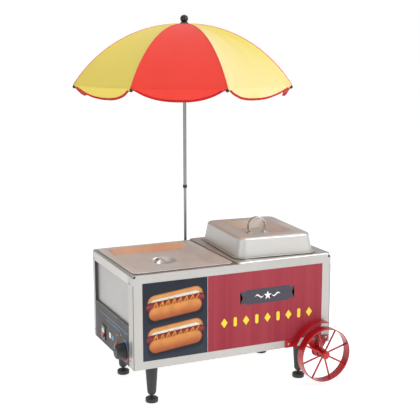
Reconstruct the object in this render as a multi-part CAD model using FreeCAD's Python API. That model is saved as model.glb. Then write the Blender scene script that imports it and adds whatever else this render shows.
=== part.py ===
import FreeCAD, Part
import math
import os

# Countertop hot dog steamer cart with an umbrella, a decorative wheel,
# one pan under a flat lid and one pan under a dome lid.
# Millimetres. +Z up, +X to the right seen from the front, -Y is the front.
# It is laid out from the cabinet's front left corner on the counter, and moved
# on export so that the origin is the centre of the whole footprint.

Vector = FreeCAD.Vector
LEFT, RIGHT, FRONT, REAR, UP = (-1, 0, 0), (1, 0, 0), (0, -1, 0), (0, 1, 0), (0, 0, 1)

# ---------------------------------------------------------------- sizes
CENTRE_X, CENTRE_Y = 332.34, 353.51    # footprint centre

# cabinet
CAB_W, CAB_D, CAB_H = 664.0, 379.0, 287.0
BOTTOM = 127.0                         # counter to cabinet bottom
TOP = BOTTOM + CAB_H
SHEET = 1.2                            # sheet metal thickness
FLANGE_F, FLANGE_R = 39.0, 17.0        # front and rear flange widths on the ends
RECESS = 9.0                           # how far the end panels sit in
LIP_W = RECESS + SHEET                 # flange lip, out to the end of the cabinet
STRIP = 32.0                           # top strip of each end
DECK_R = 8.0                           # rounded end edges of the deck
SIDE_Y0, SIDE_Y1 = FLANGE_F + 0.2, CAB_D - FLANGE_R - 0.2   # end panels
FASCIA_TOP = BOTTOM + 121.0            # top of the control fascia
PRINT_MARGIN = 30                      # front graphic to the cabinet ends

# pans and lids; rim and well outlines are x, y, width, depth
PAN_L = (7.0, 13.0, 325.0, 353.0)
PAN_R = (365.5, 27.0, 265.0, 325.0)
PAN_DEPTH = 100.0
WELL = (12, 12, CAB_W - 24, CAB_D - 24)
ADAPTER_X, ADAPTER_H = 338.0, 6.0      # raised plate under the right pan
ADAPTER = (ADAPTER_X, 0.3, CAB_W - ADAPTER_X, CAB_D - 0.6)
LID_GAP = 1.3                          # pan rim's seat to lid
FLAT_Z = TOP + LID_GAP
DOME_Z = TOP + ADAPTER_H + LID_GAP
DOME_TOP = DOME_Z + 62.0
DOME_LIP = 7.0                         # dome rim beyond the pan rim
DOME_SINK, DOME_TURN = 20.0, -4.0      # depth of sunk top, turn on the pan in degrees
ELEMENT_X, ELEMENT_Y = 40, (150, 190)  # the two upright ends of the heating element

# controls on the left end
KNOB_Y, KNOB_Z, KNOB_R, KNOB_D = 80.0, 165.0, 25.0, 28.0
KNOB_BACK = -2.0
SWITCH_Y, SWITCH_Z = 279.0, 164.0
LAMP_Y, LAMP_Z = 150.0, 167.0

# legs and feet
LEG_X, LEG_Y = 77.0, 58.0              # leg inset from the ends and front
LEG_TOP_R, LEG_LOW_R, LEG_Z = 20.5, 13.5, 24.0
FOOT_R, FOOT_H, STUD_R = 19.5, 16.0, 4.0
LEG_PLACES = {
    "front_left": (LEG_X, LEG_Y),
    "front_right": (CAB_W - LEG_X, LEG_Y),
    "rear_left": (LEG_X, CAB_D - LEG_Y),
    "rear_right": (CAB_W - LEG_X, CAB_D - LEG_Y),
}

# wheel in front of the cabinet
WHEEL_X, WHEEL_Z, WHEEL_R, RIM_T = 620.0, 104.0, 86.0, 3.0
WHEEL_Y0, WHEEL_Y1 = -59.0, -28.0
SPOKES, SPOKE_R, SPOKE_TURN, SPOKE_START = 8, 2.9, 16.0, 8
AXLE_R, AXLE_GAP = 5.0, 0.06
FENDER_R = 97.0

# pole behind the cabinet
POLE_X, POLE_Y = 332.0, 395.0
ROD_R, TUBE_RO, TUBE_RI = 5.0, 5.75, 5.07
ROD_Z0, ROD_Z1 = 345.2, 857.0
TUBE_Z0, TUBE_Z1 = 594.0, 1128.0
CLAMP_Z = 372                          # height of the clamp knob

# umbrella
RIBS, RIB_TURN = 8, -3.0
RIB_PITCH = 360.0 / RIBS
PIVOT_R, PIVOT_Z = 11.5, 1125.0        # rib pivot radius and height
TIP_R, TIP_Z, BOW = 367.0, 938.0, 50.0
WIRE_R, BALL_R = 1.5, 4.8
EYE_R, EYE_W = 2.0, 3.0                # eyes on ribs and stretchers
RUNNER_R, RUNNER_Z = 11.0, 968.0       # runner pivot radius and height
STRETCHER_SHIFT = 3.8                  # sideways offset of each stretcher
STRETCHER_R = 1.6
STRETCHER_AT, LUG = 0.47, 4.5          # stretcher's place along a rib, lug length
FABRIC_GAP, FABRIC_T = 5.0, 1.2
FABRIC_START = 0.028                   # inner edge of the cloth along a rib
SCALLOP = 44.0
GORE_STEPS, SCALLOP_STEPS = 9, 12

# power cord, out of the cabinet's rear
CORD_X, CORD_Z = 120, 170
CORD_PATH = [                          # x, distance behind the cabinet, z
    (CORD_X, -2, CORD_Z), (CORD_X, 32, CORD_Z), (120, 32, 228),
    (216, 32, 228), (216, 32, 150), (104, 22, 150),
    (104, 22, 246), (232, 22, 246), (232, 22, 200),
]


# ---------------------------------------------------------------- helpers
def box(x0, x1, y0, y1, z0, z1):
    return Part.makeBox(x1 - x0, y1 - y0, z1 - z0, Vector(x0, y0, z0))


def cyl(radius, height, base, axis=UP):
    return Part.makeCylinder(radius, height, Vector(*base), Vector(*axis))


def cone(radius0, radius1, height, base, axis=UP):
    return Part.makeCone(radius0, radius1, height, Vector(*base), Vector(*axis))


def ring(outer_r, inner_r, height, base, axis=UP):
    hole_base = tuple(Vector(*base) - Vector(*axis))
    return cyl(outer_r, height, base, axis).cut(cyl(inner_r, height + 2, hole_base, axis))


def prism(points, travel):
    """Extrude a planar polygon along travel."""
    outline = Part.makePolygon([Vector(*p) for p in points] + [Vector(*points[0])])
    return Part.Face(outline).extrude(Vector(*travel))


def upright_plate(outline, y, thickness):
    """Plate with an (x, z) outline, from y towards the rear."""
    return prism([(x, y, z) for x, z in outline], (0, thickness, 0))


def rounded_rect(x0, y0, width, depth, radius, z):
    """Rounded rectangle wire at height z."""
    r = max(min(radius, width / 2 - 0.5, depth / 2 - 0.5), 0.3)
    x1, y1 = x0 + width, y0 + depth
    k = r * (1 - math.sqrt(0.5))
    sides = [                          # line start, line end, middle of the next arc
        ((x0 + r, y0), (x1 - r, y0), (x1 - k, y0 + k)),
        ((x1, y0 + r), (x1, y1 - r), (x1 - k, y1 - k)),
        ((x1 - r, y1), (x0 + r, y1), (x0 + k, y1 - k)),
        ((x0, y1 - r), (x0, y0 + r), (x0 + k, y0 + k)),
    ]
    edges = []
    for i, side in enumerate(sides):
        start, end, middle = [Vector(*p, z) for p in side]
        following = Vector(*sides[(i + 1) % 4][0], z)
        edges.append(Part.LineSegment(start, end).toShape())
        edges.append(Part.Arc(end, middle, following).toShape())
    return Part.Wire(edges)


def stack(x, y, width, depth, sections):
    """Solid through rounded rectangles: sections are (inset, radius, z)."""
    wires = [rounded_rect(x + inset, y + inset, width - 2 * inset, depth - 2 * inset, radius, z)
             for inset, radius, z in sections]
    solid = None
    for lower, upper in zip(wires, wires[1:]):
        layer = Part.makeLoft([lower, upper], True, True)
        solid = layer if solid is None else solid.fuse(layer)
    return solid


def one(shape):
    """The largest solid of a boolean result."""
    return sorted(shape.Solids, key=lambda solid: -solid.Volume)[0]


def positive(shape):
    """The shape turned right side out."""
    return shape.reversed() if shape.Volume < 0 else shape


def unit(vector):
    return vector * (1.0 / vector.Length)


def tube(path, radius, bend):
    """Round bar or cord along a path, with rounded bends."""
    points = [Vector(*p) for p in path]
    edges = []
    current = points[0]
    for before, corner, after in zip(points, points[1:], points[2:]):
        back = unit(before - corner)
        ahead = unit(after - corner)
        half = math.acos(max(-1, min(1, back.dot(ahead)))) / 2
        reach = bend / math.tan(half)
        start, end = corner + back * reach, corner + ahead * reach
        middle = corner + unit(back + ahead) * (bend / math.sin(half) - bend)
        edges.append(Part.LineSegment(current, start).toShape())
        edges.append(Part.Arc(start, middle, end).toShape())
        current = end
    edges.append(Part.LineSegment(current, points[-1]).toShape())
    profile = Part.Wire([Part.Circle(points[0], points[1] - points[0], radius).toShape()])
    return Part.Wire(edges).makePipeShell([profile], True, False)


# ---------------------------------------------------------------- cabinet
def flanged_sheet(face_y, flange_y, lip_y):
    """Sheet with a flange round each end and an inner lip; each y is a range."""
    sheet = box(0, CAB_W, *face_y, BOTTOM, TOP - SHEET)
    for flange_x, lip_x in (((0, SHEET), (0, LIP_W)),
                            ((CAB_W - SHEET, CAB_W), (CAB_W - LIP_W, CAB_W))):
        flange = box(*flange_x, *flange_y, BOTTOM, TOP - DECK_R)
        lip = box(*lip_x, *lip_y, BOTTOM, TOP - DECK_R)
        sheet = sheet.fuse(flange).fuse(lip)
    return sheet


def notch_top_corners(shell, y0, y1):
    """Clear the rounded ends of the deck."""
    for x0, x1 in ((-1, DECK_R + 1), (CAB_W - DECK_R - 1, CAB_W + 1)):
        shell = shell.cut(box(x0, x1, y0, y1, TOP - DECK_R, TOP + 1))
    return shell


def front_shell():
    shell = flanged_sheet((0, SHEET), (0, FLANGE_F), (FLANGE_F - SHEET, FLANGE_F))
    # upright slot in the left flange
    shell = shell.cut(box(-2, 3, 18.5, 24, BOTTOM + 35, BOTTOM + 86))
    return one(notch_top_corners(shell, -1, 60).removeSplitter())


def rear_shell():
    flange_y = CAB_D - FLANGE_R
    shell = flanged_sheet((CAB_D - SHEET, CAB_D), (flange_y, CAB_D),
                          (flange_y, flange_y + SHEET))
    shell = notch_top_corners(shell, CAB_D - 60, CAB_D + 1)
    shell = shell.cut(cyl(7.0, 10, (CORD_X, CAB_D - 5, CORD_Z), REAR))
    for i in range(9):
        x = 420 + i * 18
        shell = shell.cut(box(x, x + 5, CAB_D - 3, CAB_D + 1, 160, 215))
    return one(shell.removeSplitter())


def left_side_panel():
    top = TOP - STRIP
    panel = box(RECESS, LIP_W, SIDE_Y0, SIDE_Y1, FASCIA_TOP, top)
    panel = panel.fuse(box(0.2, LIP_W, SIDE_Y0, SIDE_Y1, top - SHEET, top))
    panel = panel.fuse(box(SHEET + 0.2, LIP_W, SIDE_Y0, SIDE_Y1, FASCIA_TOP, FASCIA_TOP + SHEET))
    return one(panel.removeSplitter())


def right_side_panel():
    top = TOP - STRIP
    panel = box(CAB_W - LIP_W, CAB_W - RECESS, SIDE_Y0, SIDE_Y1, BOTTOM + 1.4, top)
    panel = panel.fuse(box(CAB_W - LIP_W, CAB_W - 0.2, SIDE_Y0, SIDE_Y1, top - SHEET, top))
    for i in range(12):
        y = 110 + i * 16
        panel = panel.cut(box(CAB_W - RECESS - 4, CAB_W, y, y + 5, 165, 225))
    return one(panel.removeSplitter())


def round_end_edges(block, top, radius):
    edges = [e for e in block.Edges
             if abs(e.BoundBox.ZMin - top) < 0.01 and e.BoundBox.YLength > 100]
    return block.makeFillet(radius, edges)


def top_deck():
    """Top sheet whose rounded ends turn down over the end panels."""
    deck = box(0, CAB_W, 0, CAB_D, TOP - STRIP, TOP)
    deck = round_end_edges(deck, TOP, DECK_R)
    inside = box(SHEET, CAB_W - SHEET, -1, CAB_D + 1, TOP - STRIP - 1, TOP - SHEET)
    deck = deck.cut(round_end_edges(inside, TOP - SHEET, DECK_R - SHEET))
    # the end strips stop at the shell flanges
    for y0, y1 in ((-1, FLANGE_F), (CAB_D - FLANGE_R, CAB_D + 1)):
        deck = deck.cut(box(-1, CAB_W + 1, y0, y1, TOP - STRIP - 1, TOP - DECK_R + 0.1))
    for rim, inset in ((PAN_L, 10), (PAN_R, 4)):
        deck = deck.cut(stack(*rim, [(inset, 22, TOP - 5), (inset, 22, TOP + 5)]))
    return one(deck.removeSplitter())


def pan_adapter_plate():
    plate = stack(*ADAPTER, [(0, 9, TOP), (0, 9, TOP + 2.5), (1.0, 9, TOP + 4.6),
                             (3.2, 8, TOP + ADAPTER_H)])
    plate = plate.cut(stack(*ADAPTER, [(1.3, 8, TOP - 1), (1.3, 8, TOP + 2.2),
                                       (4.4, 7, TOP + ADAPTER_H - SHEET)]))
    return one(plate.cut(stack(*PAN_R, [(9, 22, TOP - 5), (9, 22, TOP + 10)])))


def base_plate():
    inset = SHEET + 0.1
    plate = box(inset, CAB_W - inset, inset, CAB_D - inset, BOTTOM, BOTTOM + SHEET)
    # notches round the flange lips
    rear_lip = CAB_D - FLANGE_R
    for y0, y1 in ((FLANGE_F - SHEET - 0.1, FLANGE_F + 0.1),
                   (rear_lip - 0.1, rear_lip + SHEET + 0.1)):
        for x0, x1 in ((0, LIP_W + 0.2), (CAB_W - LIP_W - 0.2, CAB_W)):
            plate = plate.cut(box(x0, x1, y0, y1, 0, 500))
    return one(plate)


def front_graphic():
    return box(PRINT_MARGIN, CAB_W - PRINT_MARGIN, -0.8, 0, BOTTOM + 25, TOP - 26)


# ---------------------------------------------------------------- controls
def switch_block(x0, x1, half_y, half_z):
    return box(x0, x1, SWITCH_Y - half_y, SWITCH_Y + half_y, SWITCH_Z - half_z, SWITCH_Z + half_z)


def knob_at(x):
    return (x, KNOB_Y, KNOB_Z)


def lamp_at(x):
    return (x, LAMP_Y, LAMP_Z)


def control_fascia():
    top = FASCIA_TOP - 0.1
    fascia = box(0, SHEET, SIDE_Y0, SIDE_Y1, BOTTOM + 0.4, top)
    fascia = fascia.fuse(box(0, RECESS, SIDE_Y0, SIDE_Y1, top - SHEET, top))
    fascia = fascia.cut(cyl(4.2, 10, knob_at(-2), RIGHT))
    fascia = fascia.cut(switch_block(-2, 3, 13.2, 19.2))
    fascia = fascia.cut(cyl(3.1, 10, lamp_at(-2), RIGHT))
    return one(fascia.removeSplitter())


def switch_housing():
    bezel = switch_block(-3, 0, 17, 24)
    corners = [e for e in bezel.Edges if e.BoundBox.XLength > 2 and e.BoundBox.YLength < 0.1]
    housing = bezel.makeFillet(2.0, corners).fuse(switch_block(0, 24, 13, 19))
    return one(housing.cut(switch_block(-5, 16, 10.2, 15.8)).removeSplitter())


def switch_rocker():
    pivot_x, tilt = 6, math.radians(10)
    # outwards and upwards from the pivot, before the tilt
    profile = [(12, -13), (9.5, 0), (12, 13), (0, 13), (-5, 7), (-5, -7), (0, -13)]
    outline = [(pivot_x - (out * math.cos(tilt) - up * math.sin(tilt)),
                SWITCH_Z + out * math.sin(tilt) + up * math.cos(tilt)) for out, up in profile]
    rocker = upright_plate(outline, SWITCH_Y - 9.8, 19.6)
    return one(rocker.fuse(cyl(2.0, 20.3, (pivot_x, SWITCH_Y - 10.15, SWITCH_Z), REAR)))


def thermostat_body():
    body = box(4, 40, KNOB_Y - 22, KNOB_Y + 22, KNOB_Z - 20, KNOB_Z + 20)
    body = body.fuse(cyl(6, 3, knob_at(1.3), RIGHT))
    return one(body.cut(cyl(3.05, 14, knob_at(0), RIGHT)))


def control_knob():
    cap_h = 4
    face = KNOB_BACK - KNOB_D
    knob = cone(KNOB_R, KNOB_R - 3.0, KNOB_D - cap_h, knob_at(KNOB_BACK), LEFT)
    for i in range(24):                # grip flutes
        a = math.radians(i * 15)
        y = KNOB_Y + (KNOB_R - 0.6) * math.cos(a)
        z = KNOB_Z + (KNOB_R - 0.6) * math.sin(a)
        knob = knob.cut(cyl(1.3, KNOB_D, (-6.0, y, z), LEFT))
    knob = knob.fuse(cone(KNOB_R - 3.6, KNOB_R - 8, cap_h, knob_at(face + cap_h), LEFT))
    # pointer bar, then shaft
    knob = knob.fuse(box(face - 1.0, face + 2, KNOB_Y - 1.5, KNOB_Y + 1.5,
                         KNOB_Z + 4, KNOB_Z + KNOB_R - 6))
    return one(knob.fuse(cyl(3.0, 15.0, knob_at(-3.0), RIGHT)))


def pilot_lamp():
    lamp = cyl(5.0, 2.0, lamp_at(-2.0), RIGHT).fuse(cyl(3.0, 12, lamp_at(-0.5), RIGHT))
    lens = Part.makeSphere(4.0, Vector(*lamp_at(-1.2)))
    return one(lamp.fuse(lens.common(box(-6, -1.2, 0, 300, 100, 300))))


# ---------------------------------------------------------------- water, pans, lids
def water_well():
    well = stack(*WELL, [(0, 14, BOTTOM + 129), (0, 14, TOP - SHEET)])
    well = well.cut(stack(*WELL, [(1, 13, BOTTOM + 130), (1, 13, TOP + 4)]))
    for y in ELEMENT_Y:
        well = well.cut(cyl(5.2, 20, (ELEMENT_X, y, BOTTOM + 120)))
    return one(well)


def heating_element():
    x, (y0, y1) = ELEMENT_X, ELEMENT_Y
    low, high = BOTTOM + 110, BOTTOM + 143
    path = [(x, y0, low), (x, y0, high), (580, y0, high), (580, 270, high),
            (90, 270, high), (90, y1, high), (x, y1, high), (x, y1, low)]
    return tube(path, radius=4.0, bend=16.0)


def pan(rim, z):
    floor = z - PAN_DEPTH
    body = stack(*rim, [(0, 18, z), (0, 18, z + 1.2)])
    body = body.fuse(stack(*rim, [(19, 34, floor), (12, 30, floor + 12), (10.6, 21, z + 0.6)]))
    return one(body.cut(stack(*rim, [(20, 33, floor + 1.0), (13, 29, floor + 13),
                                     (11.6, 20, z + 1.3)])))


FLAT_X, FLAT_Y = PAN_L[0] + PAN_L[2] / 2, PAN_L[1] + PAN_L[3] / 2


def dish_space():
    """Inside of the flat lid's round dish."""
    return cone(33, 44.2, 20.4, (FLAT_X, FLAT_Y, FLAT_Z - 32.9))


def flat_lid():
    """Rimmed lid with a sunk centre panel and a round dish in it."""
    z = FLAT_Z
    lid = stack(*PAN_L, [(0, 18, z), (0, 18, z + 1.6), (0.8, 17.4, z + 2.4)])
    lid = lid.fuse(stack(*PAN_L, [(41.8, 20, z - 14), (22.4, 24, z + 1.0)]))
    lid = lid.cut(stack(*PAN_L, [(43.2, 19, z - 12.8), (24.4, 23, z + 1.4), (21.0, 24, z + 3.0)]))
    lid = lid.fuse(cone(34, 44.5, 20, (FLAT_X, FLAT_Y, z - 34)))
    return one(lid.cut(dish_space()))


def flat_lid_handle():
    half_w, half_l, thick = 6, 39, 2.3
    x0, x1, top = FLAT_X - half_w, FLAT_X + half_w, FLAT_Z - 11.9
    strap = box(x0, x1, FLAT_Y - half_l, FLAT_Y + half_l, FLAT_Z - 14.2, top)
    for side in (-1, 1):
        end = FLAT_Y + side * half_l
        y0, y1 = sorted((end, end - side * thick))
        strap = strap.fuse(box(x0, x1, y0, y1, FLAT_Z - 20.5, top))
    # trim the ends of the strap to the dish wall
    room = dish_space().fuse(cyl(44.2, 20, (FLAT_X, FLAT_Y, FLAT_Z - 12.5)))
    return one(strap.common(room))


DOME_RIM = (PAN_R[0] - DOME_LIP, PAN_R[1] - DOME_LIP,
            PAN_R[2] + 2 * DOME_LIP, PAN_R[3] + 2 * DOME_LIP)
DOME_X, DOME_Y = DOME_RIM[0] + DOME_RIM[2] / 2, DOME_RIM[1] + DOME_RIM[3] / 2


def turn_with_dome(shape):
    shape.rotate(Vector(DOME_X, DOME_Y, 0), Vector(*UP), DOME_TURN)
    return shape


def dome_lid():
    inset, shoulder = 17.0, DOME_TOP - 10
    outer = [(8.6, 27, DOME_Z + 0.3), (inset, 25, shoulder)]
    inner = [(9.9, 26, DOME_Z - 1), (inset + 1.1, 24, shoulder - 0.5)]
    for k in range(1, 6):              # rounded shoulder
        a = math.radians(18 * k)
        level, rise = 1 - math.cos(a), math.sin(a)
        outer.append((inset + 10 * level, 25 - 0.6 * k, shoulder + 10 * rise))
        inner.append((inset + 1.1 + 9.4 * level, 23.6 - 0.6 * k, shoulder - 0.5 + 9.4 * rise))
    rim = [(0, 34, DOME_Z), (0, 34, DOME_Z + 1.5), (0.8, 33.5, DOME_Z + 2.2)]
    dome = stack(*DOME_RIM, outer).fuse(stack(*DOME_RIM, rim))
    dome = dome.cut(stack(*DOME_RIM, inner))
    # sunk centre of the top, with long easy slopes
    sunk = DOME_TOP - DOME_SINK
    dome = dome.fuse(stack(*DOME_RIM, [(98.8, 16, sunk - 1.1), (56.3, 20, DOME_TOP - 0.4)]))
    dome = dome.cut(stack(*DOME_RIM, [(99.0, 15, sunk), (55.95, 20, DOME_TOP + 1.0)]))
    return turn_with_dome(one(dome))


def dome_handle():
    """Round strap loop standing in the sunk panel, with two grooves along it."""
    floor, half_w = DOME_TOP - DOME_SINK, 8

    def disc(radius, width, y):
        return cyl(radius, width, (DOME_X, DOME_Y + y, floor + 21), REAR)

    loop = disc(31, 2 * half_w, -half_w).cut(disc(28.2, 18, -9))
    for groove in (-3.6, 2.0):
        loop = loop.cut(disc(32, 1.6, groove).cut(disc(30.4, 2, groove - 0.2)))
    loop = loop.common(box(DOME_X - 40, DOME_X + 40, DOME_Y - 20, DOME_Y + 20, floor, floor + 60))
    for side in (-1, 1):               # flat feet
        x0, x1 = sorted((DOME_X + side * 20.0, DOME_X + side * 33.0))
        loop = loop.fuse(box(x0, x1, DOME_Y - half_w, DOME_Y + half_w, floor, floor + 2.2))
    return turn_with_dome(one(loop))


# ---------------------------------------------------------------- legs, feet
def leg(x, y):
    flange_z, taper_z = BOTTOM - 4, LEG_Z + 6
    shape = cyl(LEG_TOP_R, 4, (x, y, flange_z))
    shape = shape.fuse(cone(LEG_LOW_R, LEG_TOP_R - 0.6, flange_z - taper_z, (x, y, taper_z)))
    shape = shape.fuse(cone(9.5, LEG_LOW_R, 6, (x, y, LEG_Z)))
    return one(shape.cut(cyl(STUD_R + 0.06, 30, (x, y, LEG_Z - 1))))


def foot(x, y):
    shape = cyl(FOOT_R, FOOT_H - 6, (x, y, 2)).fuse(cone(FOOT_R - 1.6, FOOT_R, 2, (x, y, 0)))
    shape = shape.fuse(cone(FOOT_R, FOOT_R - 3.5, 2.4, (x, y, FOOT_H - 4)))
    shape = shape.fuse(cone(FOOT_R - 7, 9.5, 1.6, (x, y, FOOT_H - 1.6)))
    return one(shape.fuse(cyl(STUD_R, 30, (x, y, FOOT_H - 1))))


# ---------------------------------------------------------------- wheel
def wheel_at(y):
    return (WHEEL_X, y, WHEEL_Z)


def wheel_rim():
    return one(ring(WHEEL_R, WHEEL_R - RIM_T, WHEEL_Y1 - WHEEL_Y0, wheel_at(WHEEL_Y0), REAR))


def wheel_spokes():
    hub = cyl(13.5, 27, wheel_at(-57.5), REAR).fuse(cyl(10.5, 2.5, wheel_at(-30.5), REAR))
    length = WHEEL_R - RIM_T - 0.08 - SPOKE_START
    for i in range(SPOKES):
        a = math.radians(SPOKE_TURN + 360.0 / SPOKES * i)
        along = (math.cos(a), 0, math.sin(a))
        start = (WHEEL_X + SPOKE_START * along[0], (WHEEL_Y0 + WHEEL_Y1) / 2,
                 WHEEL_Z + SPOKE_START * along[2])
        hub = hub.fuse(cyl(SPOKE_R, length, start, along))
    return one(hub.cut(cyl(AXLE_R + AXLE_GAP, 60, wheel_at(-70), REAR)))


def wheel_axle():
    axle = cyl(AXLE_R, 60.0, wheel_at(-59.5), REAR).fuse(cyl(11.0, 2.6, wheel_at(-60.4), REAR))
    axle = axle.fuse(cone(7.0, 11.0, 0.9, wheel_at(-61.3), REAR))
    return one(axle.fuse(cyl(8.5, 2.0, wheel_at(0.6), REAR)))


def wheel_bracket():
    x, low = WHEEL_X, WHEEL_Z - 6
    bracket = upright_plate([(x - 38, BOTTOM + 24), (x + 38, BOTTOM + 24), (x + 38, BOTTOM + 10),
                             (x + 12, low), (x - 12, low), (x - 38, BOTTOM + 10)], -4, 4)
    window = [(x - 20, BOTTOM + 19), (x + 20, BOTTOM + 19), (x, BOTTOM + 1)]
    bracket = bracket.cut(upright_plate(window, -5, 6))
    bracket = bracket.fuse(cyl(16.0, 23.5, wheel_at(-27.5), REAR))
    bracket = bracket.fuse(cyl(19, 4.5, wheel_at(-4), REAR))
    # upright web above the boss
    web = [(x - 3, -4, BOTTOM + 22), (x - 3, -27, WHEEL_Z + 10), (x - 3, -4, WHEEL_Z + 10)]
    bracket = bracket.fuse(prism(web, (6, 0, 0)))
    return one(bracket.cut(cyl(AXLE_R, 60, wheel_at(-40), REAR)))


def wheel_fender():
    fender = ring(FENDER_R + 2.5, FENDER_R, 30.0, wheel_at(-31.0), REAR)
    sector = [(WHEEL_X, WHEEL_Z)]
    for degrees in (*range(75, 165, 8), 164):
        a = math.radians(degrees)
        sector.append((WHEEL_X + 200 * math.cos(a), WHEEL_Z + 200 * math.sin(a)))
    fender = fender.common(upright_plate(sector, -40, 60))
    # fixing tab
    return one(fender.fuse(box(504, 527, -3.5, 0, BOTTOM + 0.5, BOTTOM + 24.5)))


# ---------------------------------------------------------------- pole
def pole_at(z):
    return (POLE_X, POLE_Y, z)


def pole_bracket():
    bracket = box(POLE_X - 30, POLE_X + 30, CAB_D, CAB_D + 2.5, 322, 408)
    bracket = bracket.fuse(box(POLE_X - 17, POLE_X + 17, CAB_D, POLE_Y + 14, 332, 400))
    rear_edges = [e for e in bracket.Edges
                  if e.BoundBox.ZLength > 60 and e.BoundBox.YMin > POLE_Y + 10]
    bracket = bracket.makeFillet(5.0, rear_edges)
    bracket = bracket.cut(cyl(ROD_R + 0.07, 100, pole_at(ROD_Z0)))
    return one(bracket.cut(cyl(3.02, 40, pole_at(CLAMP_Z), REAR)))


def clamp_knob():
    y = POLE_Y + 16.5
    screw_bar = cyl(2.95, 16, (POLE_X, POLE_Y + ROD_R + 0.4, CLAMP_Z), REAR)
    head = cyl(9, 12, (POLE_X, y, CLAMP_Z), REAR)
    for i in range(5):                 # lobes
        a = math.radians(72 * i)
        lobe = (POLE_X + 9.5 * math.cos(a), y, CLAMP_Z + 9.5 * math.sin(a))
        head = head.fuse(cyl(6, 12, lobe, REAR))
    return one(screw_bar.fuse(head))


def collar():
    shape = cyl(7.4, 8, pole_at(TUBE_Z0 - 3)).fuse(cone(7.4, 6.7, 2, pole_at(TUBE_Z0 + 5)))
    shape = shape.cut(cyl(TUBE_RO + 0.02, 40, pole_at(TUBE_Z0)))
    return one(shape.cut(cyl(ROD_R + 0.1, 30, pole_at(TUBE_Z0 - 10))))


# ---------------------------------------------------------------- umbrella
def spin(shape, k):
    """Copy of a shape, turned from straight right to rib k."""
    turned = shape.copy()
    turned.rotate(Vector(POLE_X, POLE_Y, 0), Vector(*UP), RIB_TURN + RIB_PITCH * k)
    return turned


def cut_slots(hub, inner_r, shift, half_w, z0, z1):
    """Cut a slot for each rib or stretcher into the hub's edge."""
    slot = box(POLE_X + inner_r, POLE_X + 20, POLE_Y + shift - half_w, POLE_Y + shift + half_w,
               z0, z1)
    for k in range(RIBS):
        hub = hub.cut(spin(slot, k))
    return hub


def crown():
    hub = cyl(15.0, 10.0, pole_at(PIVOT_Z - 4))
    hub = cut_slots(hub, 8.6, 0, 2.3, PIVOT_Z - 6, PIVOT_Z + 3)
    return one(hub.cut(cyl(TUBE_RO + 0.02, 20, pole_at(TUBE_Z1 - 20))))


def finial():
    z = PIVOT_Z + 6
    cap = cone(16, 12.5, 4, pole_at(z)).fuse(cone(12.5, 7, 3, pole_at(z + 4)))
    ball = Part.makeSphere(13, Vector(*pole_at(z + 16)))
    return one(cap.fuse(ball.common(box(0, 700, 0, 700, z + 4, z + 60))))


def runner():
    z = RUNNER_Z
    hub = cut_slots(cyl(13.5, 8, pole_at(z - 5)), 8.0, STRETCHER_SHIFT, 2.2, z - 6, z + 4)
    hub = hub.fuse(cyl(8.8, 10, pole_at(z - 7))).fuse(cyl(10, 30, pole_at(z - 35)))
    return one(hub.cut(cyl(TUBE_RO + 0.08, 60, pole_at(z - 40))))


# Rib arc in the (radius, z) plane: chord from the pivot to the tip, bowed up
CHORD = math.hypot(TIP_R - PIVOT_R, TIP_Z - PIVOT_Z)
CHORD_R, CHORD_Z = (TIP_R - PIVOT_R) / CHORD, (TIP_Z - PIVOT_Z) / CHORD   # unit direction
ARC_R = (CHORD * CHORD / 4 + BOW * BOW) / (2 * BOW)
ARC_HALF = math.asin(CHORD / 2 / ARC_R)
ARC_CENTRE_R = PIVOT_R + CHORD_R * CHORD / 2 - CHORD_Z * (BOW - ARC_R)
ARC_CENTRE_Z = PIVOT_Z + CHORD_Z * CHORD / 2 + CHORD_R * (BOW - ARC_R)


def arc_point(t, offset=0.0):
    """(radius, z) on the rib: t is 0 at the pivot, 1 at the tip; offset is outward."""
    a = -ARC_HALF + 2 * ARC_HALF * t
    out_r = math.sin(a) * CHORD_R - math.cos(a) * CHORD_Z
    out_z = math.sin(a) * CHORD_Z + math.cos(a) * CHORD_R
    return ARC_CENTRE_R + (ARC_R + offset) * out_r, ARC_CENTRE_Z + (ARC_R + offset) * out_z


def arc_tangent(a):
    """Unit (radius, z) direction along the rib, a radians past its middle."""
    return (math.cos(a) * CHORD_R + math.sin(a) * CHORD_Z,
            math.cos(a) * CHORD_Z - math.sin(a) * CHORD_R)


def eye(radius, y, z):
    return cyl(EYE_R, EYE_W, (radius, y - EYE_W / 2, z), REAR)


JOINT_R, JOINT_Z = arc_point(STRETCHER_AT, -LUG)     # rib lug meets stretcher


def rib():
    start_r, start_z = arc_point(0.0)
    tip_r, tip_z = arc_point(1.0)
    start_dir, tip_dir = arc_tangent(-ARC_HALF), arc_tangent(ARC_HALF)
    circle = Part.Circle(Vector(start_r, 0, start_z), Vector(start_dir[0], 0, start_dir[1]),
                         WIRE_R)
    profile = Part.Face(Part.Wire([circle.toShape()]))
    bar = positive(profile.revolve(Vector(ARC_CENTRE_R, 0, ARC_CENTRE_Z), Vector(*REAR),
                                   math.degrees(2 * ARC_HALF)))
    lug_r, lug_z = arc_point(STRETCHER_AT)
    lug = cyl(1.3, LUG - 0.4, (lug_r, 0, lug_z), (JOINT_R - lug_r, 0, JOINT_Z - lug_z))
    bar = bar.fuse(eye(start_r, 0, start_z)).fuse(lug)
    bar = bar.fuse(Part.makeSphere(1.5, Vector(JOINT_R, 0, JOINT_Z)))
    ball = Vector(tip_r + tip_dir[0] * 3.6, 0, tip_z + tip_dir[1] * 3.6)
    bar = one(bar.fuse(Part.makeSphere(BALL_R, ball)))
    bar.translate(Vector(*pole_at(0)))
    return bar


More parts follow.
